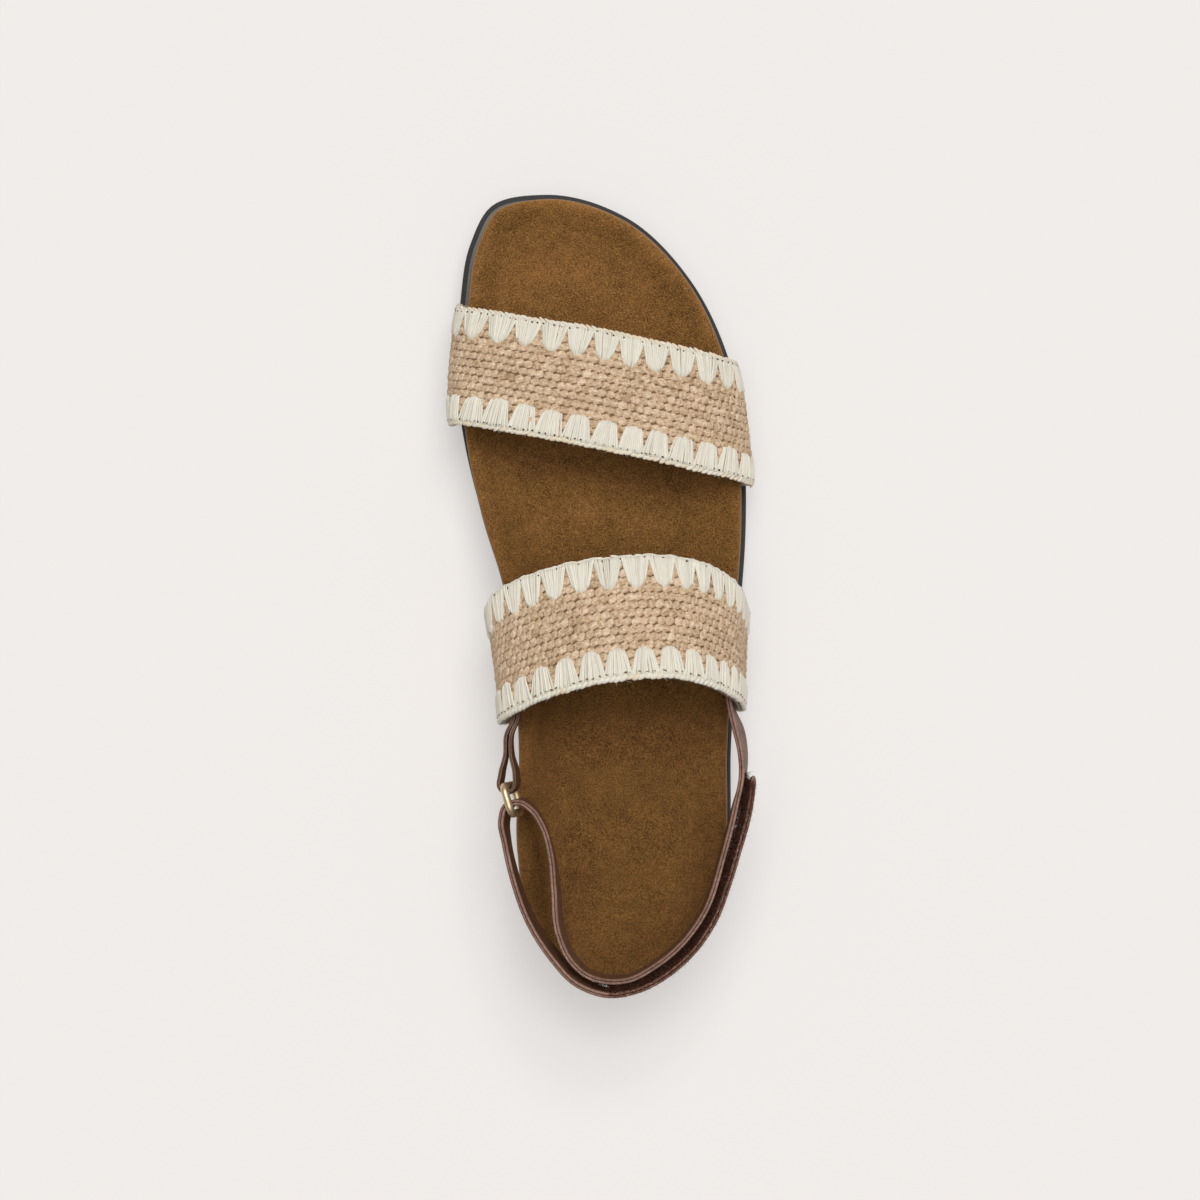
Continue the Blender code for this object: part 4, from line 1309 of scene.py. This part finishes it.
class SANDAL_OT_sole(bpy.types.Operator):
    """Build the black rubber sole with its ribbed side and grooved tread"""

    bl_idname = "sandal.sole"
    bl_label = "Rubber Sole"

    def execute(self, context):
        sizes, colours = settings(context)
        plan = Plan(sizes.ring_points)
        low = height_at(TREAD, TREAD_UP, plan.points[:, 1])
        top = height_at(BED, SOLE_TOP, plan.points[:, 1])
        rings = field(plan, TREAD, TREAD_UP)
        bends = [row[0] for row in SOLE_SIDE]
        for share in np.unique(np.concatenate([np.linspace(0.0, 1.0, SOLE_WALL_STEPS + 1), bends])):
            inset = float(height_at(SOLE_SIDE, SIDE_INSET, share))
            rings.append(raised(plan.inset(inset), low + (top - low) * share))
        black = len(rings)
        for inset in SOLE_LEDGE:
            rings.append(raised(plan.inset(inset), top))
        rings += field(plan, BED, SOLE_TOP)[::-1]
        # Rows from the second ledge ring inwards take the paler grey of a painted highlight
        highlighted = np.clip(np.arange(len(rings)) - black, 0.0, 1.0)
        bm = skin(place(rings), marks=highlighted[:, None])
        self.groove(bm)
        mesh = mesh_from(bm, "rubber_sole", sharp_angle=35.0)
        add_piece(mesh, [rubber_finish(colours)], "outsole")
        return {"FINISHED"}

    @staticmethod
    def groove(bm):
        """Cuts the tread at both sides of each groove and sinks the strip between."""
        half_width = TREAD_GROOVE_WIDTH / 2.0
        for first, pitch, count in (FOREFOOT_GROOVES, HEEL_GROOVES):
            for number in range(count):
                along = first + pitch * number
                edges = (along - half_width, along + half_width)
                low, high = (place((0.0, edge, 0.0))[1] for edge in edges)
                for cut in (low, high):
                    near = [face for face in bm.faces if face.normal.z < -TREAD_FACING]
                    geom = {*near, *(e for f in near for e in f.edges), *(v for f in near for v in f.verts)}
                    bmesh.ops.bisect_plane(
                        bm, geom=list(geom), dist=1e-7, plane_co=(0.0, cut, 0.0), plane_no=(0.0, 1.0, 0.0)
                    )
                strip = [
                    face for face in bm.faces
                    if face.normal.z < -TREAD_FACING and low < face.calc_center_median().y < high
                    and face.calc_center_median().z < TREAD_REACH * MM
                ]
                sunk = bmesh.ops.extrude_face_region(bm, geom=strip)["geom"]
                bmesh.ops.delete(bm, geom=strip, context="FACES_ONLY")
                moved = [part for part in sunk if isinstance(part, bmesh.types.BMVert)]
                bmesh.ops.translate(bm, verts=moved, vec=(0.0, 0.0, TREAD_GROOVE_DEPTH * MM))


class SANDAL_OT_footbed(bpy.types.Operator):
    """Build the cork body of the footbed"""

    bl_idname = "sandal.footbed"
    bl_label = "Cork Footbed"

    def execute(self, context):
        sizes, colours = settings(context)
        plan = Plan(sizes.ring_points)
        rim = rim_height(plan.inset(plan.ledge))
        floor = height_at(BED, SOLE_TOP, plan.points[:, 1]) + GAP
        rings = field(plan, BED, SOLE_TOP, GAP)
        for inset, above in CORK_FOOT:
            rings.append(raised(plan.inset(plan.ledge + inset), floor + above))
        start, end = floor + CORK_FOOT[-1][1], rim - CORK_RIM[0][1]
        for step in range(1, CORK_WALL_STEPS):
            share = step / CORK_WALL_STEPS
            inset = CORK_FOOT[-1][0] * (1.0 - share)
            rings.append(raised(plan.inset(plan.ledge + inset), start + (end - start) * share))
        for inset, below in CORK_RIM:
            rings.append(raised(plan.inset(plan.ledge + inset), rim - below))
        rings += bed_layer(plan, UNDER_SHARES, SUEDE + BED_GAP)
        mesh = mesh_from(skin(place(rings)), "cork_body", sharp_angle=50.0)
        add_piece(mesh, [cork_finish(colours)], "cork_footbed")
        return {"FINISHED"}


class SANDAL_OT_suede(bpy.types.Operator):
    """Build the suede cover with its rolled rim and soft hollows"""

    bl_idname = "sandal.suede"
    bl_label = "Suede Insole"

    def execute(self, context):
        sizes, colours = settings(context)
        plan = Plan(sizes.ring_points)
        edge = plan.inset(plan.ledge)
        rim = rim_height(edge)
        rings, marks = [], []
        for share in SUEDE_SHARES:
            points = plan.bed_ring(share)
            inset = np.linalg.norm(edge - points, axis=1)
            rings.append(raised(points, bed_height(points, share) + rim_bands(inset, RIM_FOLDS)))
            marks.append(self.edge_and_painted_light(points, inset))
        bead = rim_bands(SUEDE_RIM[0][0], RIM_FOLDS)
        for inset, below in SUEDE_RIM:
            lift = bead * max(0.0, 1.0 - below / SUEDE) if inset < SUEDE_RIM[-1][0] else 0.0
            points = plan.inset(plan.ledge + inset)
            rings.append(raised(points, rim - below + lift))
            marks.append(self.edge_and_painted_light(points, np.full(len(points), inset)))
        under = bed_layer(plan, UNDER_SHARES, SUEDE)
        marks += [np.zeros(len(edge))] * len(under)
        mesh = mesh_from(skin(place(rings + under), marks=np.array(marks)), "suede_cover")
        add_piece(mesh, [suede_finish(colours)], "suede_insole")
        return {"FINISHED"}

    @staticmethod
    def edge_and_painted_light(points, inset):
        """The suede's mark: pale at the raw edge, partly a painted highlight, then a painted highlight band
        and painted shade just inside it, and patches of painted light.
        """
        start, full, faintest = PAINTED_BANDS_FADE
        strength = np.clip((points[:, 1] - start) / (full - start), faintest, 1.0)
        paleness, reach = RAW_EDGE_AND_HIGHLIGHT
        raw = np.clip(paleness - inset / reach, 0.0, 1.0)
        return raw + swells(points, PAINTED_LIGHT_PATCHES) + strength * rim_bands(inset, PAINTED_RIM_BANDS)


class SANDAL_OT_straps(bpy.types.Operator):
    """Build both woven straps: ground, twined rows, stitched fans, edge cords and needle holes"""

    bl_idname = "sandal.straps"
    bl_label = "Woven Straps"

    def execute(self, context):
        sizes, colours = settings(context)
        plan = Plan(sizes.ring_points)
        straw = straw_finish(colours)
        raffia = raffia_finish(colours, "pale raffia", tint(colours.raffia, 0.86))
        cord = raffia_finish(colours, "edge cord", tint(colours.cord))
        ground, lining, hole = ground_shade_finish(colours), lining_finish(colours), hole_finish(colours)
        for seed, strap in enumerate((TOE_STRAP, INSTEP_STRAP), start=1):
            cloth = StrapCloth(plan, strap)
            draw = np.random.default_rng(seed)
            name = strap["name"]
            add_piece(self.wall(cloth, name + "_ground"), [ground, lining], name)
            add_piece(self.rows(cloth, sizes, draw, name + "_rows"), [straw])
            add_piece(self.fans(cloth, strap, sizes, draw, name + "_fans"), [raffia])
            add_piece(self.cords(cloth, strap, sizes, draw, name + "_cords"), [cord])
            add_piece(self.holes(cloth, strap, draw, name + "_holes"), [hole])
            add_piece(self.lint(cloth, strap, draw, name + "_lint"), [raffia])
        return {"FINISHED"}

    @staticmethod
    def wall(cloth, name):
        """The strap's wall: its upper side is the weave's ground, its under side the lining."""
        half = STRAP_WALL / 2.0
        widths = np.linspace(STRAP_ROUND, cloth.width - STRAP_ROUND, STRAP_THREADS)
        upper = [(width, WEAVE_GROUND) for width in widths]
        under = [(width, -half) for width in widths[::-1]]
        front = [(inset, half * share) for inset, share in STRAP_EDGE]
        rear = [(cloth.width - inset, height) for inset, height in front[::-1]]
        widths, heights = np.array(upper + rear + under + front).T
        lining = range(len(upper) + 1, len(upper + rear + under) + 1)
        spots = cloth.at(cloth.runs[::2, None], widths[None] / cloth.width, heights[None])
        return mesh_from(skin(spots, lining=lining), name, sharp_angle=60.0)

    @staticmethod
    def rows(cloth, sizes, draw, name):
        """Rows of plump stitches from edge to edge, each row shifted by half a stitch."""
        woven = cloth.width - 2.0 * ROW_MARGIN
        rows = round(woven / (sizes.row_pitch / MM))
        count = round(cloth.lengths.mean() / (sizes.stitch_pitch / MM))
        copies = rows * count
        row, stitch = np.divmod(np.arange(copies), count)
        along = stitch + 0.25 + 0.5 * (row % 2) + draw.normal(0.0, STITCH_SPREAD["along"], copies)
        pitch = woven / rows
        across = draw.normal(0.0, STITCH_SPREAD["across"], copies)
        from_front = ROW_MARGIN + (row + 0.5) * pitch + across
        height = WEAVE_GROUND + draw.normal(0.0, HEIGHT_SPREAD, copies)
        size = (
            sizes.stitch_pitch / MM * draw.uniform(*STITCH_LONG, copies),
            pitch * draw.uniform(*STITCH_WIDE, copies),
            draw.uniform(*STITCH_TALL, copies),
        )
        slant = -sizes.stitch_slant + draw.normal(0.0, STITCH_SPREAD["slant"], copies)
        tone = np.clip(draw.normal(0.5, TONE_SPREAD, copies), 0.0, 1.0)
        template = Template.grain(around=8, rings=6, plump=0.8)
        stitches = grains_on(cloth, template, along / count, from_front, height, size, slant, tone)
        return join_copies(name, template, stitches)

    @staticmethod
    def fans(cloth, strap, sizes, draw, name):
        """Fans of strands, wide at the edge and gathered at the tip, that wrap over the edge."""
        template = Template.strand()
        x, y, p = (template.points[None, :, axis] for axis in range(3))
        count = sizes.fan_strands
        groups = []
        for at, edge in edges_of(strap):
            middles = np.array(edge["fans"], float)
            length = cloth.length_at(at)
            fan, base = (np.repeat(each, count) for each in (middles, np.gradient(middles) * sizes.fan_foot))
            spread = np.tile(np.linspace(-1.0, 1.0, count), len(middles))
            copies = len(fan)
            foot = fan + spread * base / 2.0 + draw.normal(0.0, FAN_SPREAD["foot"], copies)
            head = fan + edge["lean"] + spread * base * edge["tip"] / 2.0
            head += draw.normal(0.0, FAN_SPREAD["head"], copies)
            reach = sizes.fan_depth / MM * (1.0 - edge["round"] * spread**2)
            reach += np.repeat(draw.normal(0.0, FAN_SPREAD["fan"], len(middles)), count)
            reach += draw.normal(0.0, FAN_SPREAD["reach"], copies)
            bow = p**FAN_BOW
            run = (head[:, None] * (1.0 - bow) + foot[:, None] * bow) / length
            taper = STRAND_TAPER[0] * (1.0 - p) + STRAND_TAPER[1] * p
            wide = sizes.strand_width / MM / 2.0 * taper * draw.uniform(*STRAND_WIDE, copies)[:, None]
            sewn = (edge["cord"] * FAN_SEWN - edge["scallop"] * spread**2)[:, None]
            from_edge = sewn + (reach[:, None] - sewn) * (1.0 - p)
            rise = np.clip(p / FAN_RISE["reach"], 0.0, 1.0) ** FAN_RISE["power"]
            fall = np.clip((FAN_FALL["end"] - p) / FAN_FALL["reach"], 0.0, 1.0) ** FAN_FALL["power"]
            arch = FAN_ARCH + draw.normal(0.0, FAN_SPREAD["height"], copies)
            arch += FAN_CROWN * np.cos(spread * FAN_CROWN_TURN)
            height = WEAVE_GROUND - FAN_END + arch[:, None] * rise * fall + y * STRAND_TALL
            share = np.abs(at - from_edge / cloth.width)
            places = cloth.at(run + x * wide / length, share, height)
            shift = draw.uniform(0.0, FIBRE_RANGE, copies)[:, None]
            fibre = np.stack([p * reach[:, None] + shift, x * wide + y * STRAND_SIDE + shift], axis=2)
            tone = np.clip(draw.normal(0.5, TONE_SPREAD, copies), 0.0, 1.0)
            groups.append((places, tone, fibre))
        return join_copies(name, template, *groups)

    @staticmethod
    def cords(cloth, strap, sizes, draw, name):
        """A whipped cord along each edge, which stands out between the fans where it is scalloped."""
        template = Template.grain()
        groups = []
        for at, edge in edges_of(strap):
            length = cloth.length_at(at)
            count = round(length / (sizes.cord_pitch / MM))
            pitch = length / count
            spots = (np.arange(count) + 0.5) * pitch + draw.normal(0.0, CORD_SPREAD["along"], count)
            nearest = np.abs(spots[:, None] - np.array(edge["fans"], float)).min(axis=1)
            bulge = edge["scallop"] * np.clip(nearest / SCALLOP_REACH, 0.0, 1.0) ** 2
            half = edge["cord"] / 2.0
            from_edge = half * CORD_INSET - bulge + draw.normal(0.0, HEIGHT_SPREAD, count)
            height = WEAVE_GROUND + CORD_RISE * edge["cord"] + draw.normal(0.0, HEIGHT_SPREAD, count)
            long, wide = pitch * draw.uniform(*CORD_LONG, count), half * draw.uniform(*CORD_WIDE, count)
            slant = 0.0 if edge["scallop"] else CORD_SLANT * (1.0 - 2.0 * at)
            turn = slant + draw.normal(0.0, CORD_SPREAD["slant"], count)
            from_front = np.abs(at * cloth.width - from_edge)
            tone = np.clip(draw.normal(edge["tone"], CORD_SPREAD["tone"], count), 0.0, 1.0)
            size = (long, wide, half * CORD_TALL)
            groups.append(
                grains_on(cloth, template, spots / length, from_front, height, size, turn, tone)
            )
        return join_copies(name, template, *groups)

    @staticmethod
    def holes(cloth, strap, draw, name):
        """Small needle holes, dark with painted shade, between each edge cord and the feet of the fans."""
        template = Template.grain(around=6, rings=4)
        rows = []
        for at, edge in edges_of(strap):
            length = cloth.length_at(at)
            spacing = draw.uniform(*HOLE_SPACING, int(length / 2.0))
            spots = np.cumsum(spacing + HOLE_SPACING_SCALLOP * edge["scallop"])
            spots = spots[spots < length - 1.0]
            inside = draw.normal(*HOLE_INSIDE, len(spots))
            from_front = np.abs(at * cloth.width - edge["cord"] - inside)
            # Tan thread makes the holes longer and hides most of them
            shade = draw.uniform(0.0, HOLE_TONE, len(spots)) + HOLE_TONE * edge["tan thread"]
            long = draw.uniform(*HOLE_LONG, len(spots)) * (1.0 + edge["tan thread"])
            rows.append((spots / length, from_front, np.clip(shade, 0.0, 1.0), long))
        run, from_front, tone, long = np.concatenate(rows, axis=1)
        copies = len(run)
        height = WEAVE_GROUND + HOLE_RISE + draw.normal(0.0, HEIGHT_SPREAD, copies)
        size = (long, draw.uniform(*HOLE_WIDE, copies), HOLE_TALL)
        slant = draw.uniform(-HOLE_TURN, HOLE_TURN, copies)
        return join_copies(
            name, template, grains_on(cloth, template, run, from_front, height, size, slant, tone)
        )

    @staticmethod
    def lint(cloth, strap, draw, name):
        """A few loose fibres that stand out of the rear edge, most of them near its ends."""
        template = Template.strand(around=4, steps=4, tip=0.4)
        x, y, p = (template.points[None, :, axis] for axis in range(3))
        copies = LOOSE_FIBRES
        ends = draw.choice(LOOSE_ENDS, copies)
        near = np.where(np.arange(copies) % 3 == 0, LOOSE_MIDDLE, ends)
        run = np.clip(near + draw.normal(0.0, LOOSE_SPREAD, copies), *LOOSE_RUNS)[:, None]
        length = draw.uniform(*LOOSE_LENGTH, copies)[:, None] * strap["rear edge"]["cord"]
        sway = draw.normal(0.0, LOOSE_SWAY, copies)[:, None]
        lift = draw.uniform(*LOOSE_LIFT, copies)[:, None]
        x, y = x * LOOSE_THICKNESS, y * LOOSE_THICKNESS
        share = 1.0 + (length * p - LOOSE_INSET) / cloth.width + y / cloth.width
        runs = run + (sway * length * p**2 + x) / cloth.length_at(1.0)
        places = cloth.at(runs, share, LOOSE_HEIGHT + lift * length * p + y)
        shift = np.arange(copies)[:, None]
        fibre = np.stack([p * length + shift, x + shift], axis=2)
        return join_copies(name, template, (places, draw.uniform(*LOOSE_TONE, copies), fibre))


class SANDAL_OT_heel_strap(bpy.types.Operator):
    """Build the leather heel strap: two layers with raw edges, round the heel and back to its tip"""

    bl_idname = "sandal.heel_strap"
    bl_label = "Heel Strap"

    def execute(self, context):
        _, colours = settings(context)
        band = Band(HEEL_STRAP, 0.0, len(HEEL_STRAP) - 1, HEEL_STRAP_SECTIONS)
        profile, raw = band_profile(HEEL_STRAP_WIDTH, HEEL_STRAP_THICKNESS)
        to_tip = band.run[-1] - band.run
        within_round = np.clip(1.0 - to_tip / (HEEL_STRAP_WIDTH / 2.0), 0.0, 1.0)
        narrow = TIP_NARROW + (1.0 - TIP_NARROW) * np.sqrt(1.0 - within_round**2)
        thin = TIP_THIN + (1.0 - TIP_THIN) * np.sqrt(np.clip(to_tip / TIP_REACH, 0.0, 1.0))
        bm = skin(place(band.rings(profile, narrow, thin)), marks=raw)
        mesh = mesh_from(bm, "heel_strap_leather", sharp_angle=55.0)
        add_piece(mesh, [leather_finish(colours, "brown leather")], "heel_strap")
        return {"FINISHED"}


class SANDAL_OT_tape(bpy.types.Operator):
    """Build the hook-and-loop tape and the pile that stands on it"""

    bl_idname = "sandal.tape"
    bl_label = "Closure Tape"

    def execute(self, context):
        sizes, colours = settings(context)
        offset = -(HEEL_STRAP_THICKNESS / 2.0 + GAP + TAPE_THICKNESS / 2.0)
        band = Band(HEEL_STRAP, *TAPE_KNOTS, TAPE_SECTIONS)
        profile, _ = band_profile(TAPE_WIDTH, TAPE_THICKNESS, offset)
        mesh = mesh_from(skin(place(band.rings(profile))), "tape_ground")
        tones = mesh.attributes.new("tone", "FLOAT", "POINT")
        tones.data.foreach_set("value", np.full(len(mesh.vertices), TAPE_TONE, np.float32))
        pile = pile_finish(colours)
        add_piece(mesh, [pile], "closure_tape")
        hooks = Band(HEEL_STRAP, *HOOK_KNOTS, TAPE_SECTIONS)
        inside, crest = -HEEL_STRAP_THICKNESS / 2.0, HEEL_STRAP_WIDTH / 2.0
        tape = (offset - TAPE_THICKNESS / 2.0, offset + TAPE_THICKNESS / 2.0)
        top = TAPE_WIDTH / 2.0
        groups = (
            # band, number, out, rise, outward lean, upward lean, tone: paler on the crest as painted light,
            # darker in the gap as painted shade
            (band, 2600, tape, (top - 0.3, top), (-0.7, 0.5), (0.5, 0.95), 0.05),
            (band, 1200, tape, (-top, top), (-0.7, 0.2), (0.2, 0.6), 0.0),
            (band, 3600, (inside - 0.3, 0.6), (crest - 0.3, crest), (-0.4, 0.25), (0.1, 0.4), 0.32),
            (band, 2200, (tape[0] - 0.1, tape[0]), (0.0, top), (-0.95, -0.3), (0.0, 0.3), -0.1),
            (hooks, 2600, (inside - 0.1, inside), (0.0, crest - 0.2), (-0.95, -0.3), (0.0, 0.3), -0.1),
        )
        add_piece(self.hairs(groups, sizes), [pile])
        return {"FINISHED"}

    @staticmethod
    def hairs(groups, sizes):
        """Bent hairs in groups, each with its band, number, places and leans in ranges, and tone."""
        draw = np.random.default_rng(HAIR_SEED)
        template = Template.strand(around=3, steps=2, tip=0.5)
        x, y, p = (template.points[None, :, axis, None] for axis in range(3))
        made = []
        for band, copies, out, rise, outward_lean, upward_lean, tone in groups:
            at = draw.integers(1, len(band.middle) - 1, copies)
            flow, side, upward = band.flow[at], band.side[at], band.upward[at]
            step = draw.uniform(-0.5, 0.5, copies) * band.run[-1] / len(band.run)
            root = band.middle[at] + flow * step[:, None] + side * draw.uniform(*out, copies)[:, None]
            root = root + upward * draw.uniform(*rise, copies)[:, None]
            lean = draw.normal(0.0, HAIR_LEAN, copies)[:, None] * flow
            lean = lean + draw.uniform(*outward_lean, copies)[:, None] * side
            lean = lean + draw.uniform(*upward_lean, copies)[:, None] * upward
            bend = draw.normal(0.0, HAIR_BEND, (copies, 3))
            length = sizes.pile_length / MM * draw.uniform(*HAIR_LENGTH, copies)
            reach = length[:, None, None] * (lean[:, None] * p + bend[:, None] * p**2)
            thick = HAIR_THICKNESS * (1.0 - HAIR_THINNING * p)
            places = place(root[:, None] + reach + (flow[:, None] * x + side[:, None] * y) * thick)
            lint = LINT_TONE * (draw.uniform(0.0, 1.0, copies) > 1.0 - HAIR_LINT)
            tones = np.clip(draw.beta(*HAIR_TONES, copies) + tone, 0.0, HAIR_PALEST) + lint
            made.append((places, tones, np.zeros((*places.shape[:2], 2))))
        return join_copies("tape_pile_hairs", template, *made)


class SANDAL_OT_ring_tab(bpy.types.Operator):
    """Build the folded leather tab that holds the ring"""

    bl_idname = "sandal.ring_tab"
    bl_label = "Ring Tab"

    def execute(self, context):
        _, colours = settings(context)
        band = Band(TAB, 0.0, len(TAB) - 1, TAB_SECTIONS)
        profile, raw = band_profile(TAB_WIDTH, TAB_THICKNESS)
        bm = skin(place(band.rings(profile)), marks=raw * TAB_RAW)
        mesh = mesh_from(bm, "tab_leather", sharp_angle=55.0)
        add_piece(mesh, [leather_finish(colours, "tab leather", TAB_SHADE)], "ring_tab")
        return {"FINISHED"}


class SANDAL_OT_ring(bpy.types.Operator):
    """Build the rectangular brass ring"""

    bl_idname = "sandal.ring"
    bl_label = "Brass Ring"

    def execute(self, context):
        _, colours = settings(context)
        front, rear = np.array(RING_FRONT_BAR), np.array(RING_REAR_BAR)
        middle, run = (front + rear) / 2.0, rear - front
        half_length = np.linalg.norm(run) / 2.0
        run = np.array([*run / np.linalg.norm(run), 0.0])
        half_height = (RING_OPENING + RING_WIRE) / 2.0
        lean = RING_LEAN / (HEEL_STRAP_WIDTH / 2.0)
        outward = outward_from_heel(middle[None])[0]
        upward = np.array([*outward * lean, math.sqrt(1.0 - lean**2)])
        side = np.cross(run, upward)
        centre = np.array([*middle, RING_UP])
        wire = np.linspace(0.0, 2.0 * math.pi, RING_WIRE_POINTS, endpoint=False)
        rings = []
        for quarter, (sign_run, sign_up) in enumerate(((1, 1), (-1, 1), (-1, -1), (1, -1))):
            for step in range(RING_CORNER_STEPS + 1):
                angle = math.radians(90.0) * (quarter + step / RING_CORNER_STEPS)
                away = run * math.cos(angle) + upward * math.sin(angle)
                spot = centre + run * sign_run * (half_length - RING_CORNER) + away * RING_CORNER
                spot = spot + upward * sign_up * (half_height - RING_CORNER)
                section = np.cos(wire)[:, None] * away + np.sin(wire)[:, None] * side
                rings.append(spot + section * RING_WIRE / 2.0)
        mesh = mesh_from(skin(place(rings), closed=True), "ring_brass")
        add_piece(mesh, [brass_finish(colours)], "brass_ring")
        return {"FINISHED"}


class SANDAL_OT_stage(bpy.types.Operator):
    """Set up the pale floor, the soft lights and the camera straight above"""

    bl_idname = "sandal.stage"
    bl_label = "Studio"

    def execute(self, context):
        sizes, colours = settings(context)
        bm = bmesh.new()
        bmesh.ops.create_grid(bm, x_segments=8, y_segments=8, size=sizes.floor_width / 2.0)
        bmesh.ops.translate(bm, verts=bm.verts, vec=(0.0, 0.0, -FLOOR_DROP * MM))
        mesh = mesh_from(bm, "studio_floor")
        mesh.materials.append(floor_finish(colours))
        floor = bpy.data.objects.new("studio_floor", mesh)
        context.scene.collection.objects.link(floor)
        for light in LIGHTS:
            self.light(context, *light)
        world = bpy.data.worlds.new("soft_studio")
        world.use_nodes = True
        sky = world.node_tree.nodes["Background"]
        sky.inputs["Color"].default_value = SKY_COLOUR
        sky.inputs["Strength"].default_value = SKY_STRENGTH
        context.scene.world = world
        context.scene.view_settings.view_transform = "Standard"
        self.camera(context, sizes)
        return {"FINISHED"}

    @staticmethod
    def light(context, name, source, spread, strength):
        """A soft light that comes evenly from one side, spread over an angle in degrees."""
        lamp = bpy.data.lights.new(name, "SUN")
        lamp.angle = math.radians(spread)
        lamp.energy = strength
        holder = bpy.data.objects.new(name, lamp)
        holder.location = source
        holder.rotation_euler = (-Vector(source)).to_track_quat("-Z", "Y").to_euler()
        context.scene.collection.objects.link(holder)

    @staticmethod
    def camera(context, sizes):
        """The camera straight above, with a lens that takes in the view's width."""
        view = bpy.data.cameras.new("camera_above")
        view.sensor_width = CAMERA_SENSOR
        view.lens = view.sensor_width * sizes.camera_distance / (VIEW_WIDTH * MM)
        view.clip_end = CAMERA_REACH
        holder = bpy.data.objects.new("camera_above", view)
        up = VIEW_LEVEL + sizes.camera_distance / MM
        holder.location = place((VIEW_ACROSS, VIEW_ALONG, up))
        context.scene.collection.objects.link(holder)
        context.scene.camera = holder


class SANDAL_PT_pieces(bpy.types.Panel):
    """The sandal's sizes, colours and pieces"""

    bl_idname = "SANDAL_PT_pieces"
    bl_label = "Cork Footbed Sandal"
    bl_space_type = "VIEW_3D"
    bl_region_type = "UI"
    bl_category = "Sandal"

    def draw(self, context):
        for group in settings(context):
            box = self.layout.box()
            for name in group.__annotations__:
                box.prop(group, name)
        for operator in OPERATORS:
            self.layout.operator(operator.bl_idname)


OPERATORS = (
    SANDAL_OT_sole,
    SANDAL_OT_footbed,
    SANDAL_OT_suede,
    SANDAL_OT_straps,
    SANDAL_OT_heel_strap,
    SANDAL_OT_tape,
    SANDAL_OT_ring_tab,
    SANDAL_OT_ring,
    SANDAL_OT_stage,
)
CLASSES = (SandalSizes, SandalColours, *OPERATORS, SANDAL_PT_pieces)


def register():
    """Registers the add-on's classes and the scene's settings."""
    for each in CLASSES:
        bpy.utils.register_class(each)
    bpy.types.Scene.sandal_sizes = PointerProperty(type=SandalSizes)
    bpy.types.Scene.sandal_colours = PointerProperty(type=SandalColours)


def unregister():
    """Takes the settings and the classes away again."""
    del bpy.types.Scene.sandal_colours
    del bpy.types.Scene.sandal_sizes
    for each in reversed(CLASSES):
        bpy.utils.unregister_class(each)


def main():
    """Builds the studio and every piece."""
    register()
    bpy.ops.sandal.stage()
    bpy.ops.sandal.sole()
    bpy.ops.sandal.footbed()
    bpy.ops.sandal.suede()
    bpy.ops.sandal.straps()
    bpy.ops.sandal.heel_strap()
    bpy.ops.sandal.tape()
    bpy.ops.sandal.ring_tab()
    bpy.ops.sandal.ring()


if __name__ == "__main__":
    main()
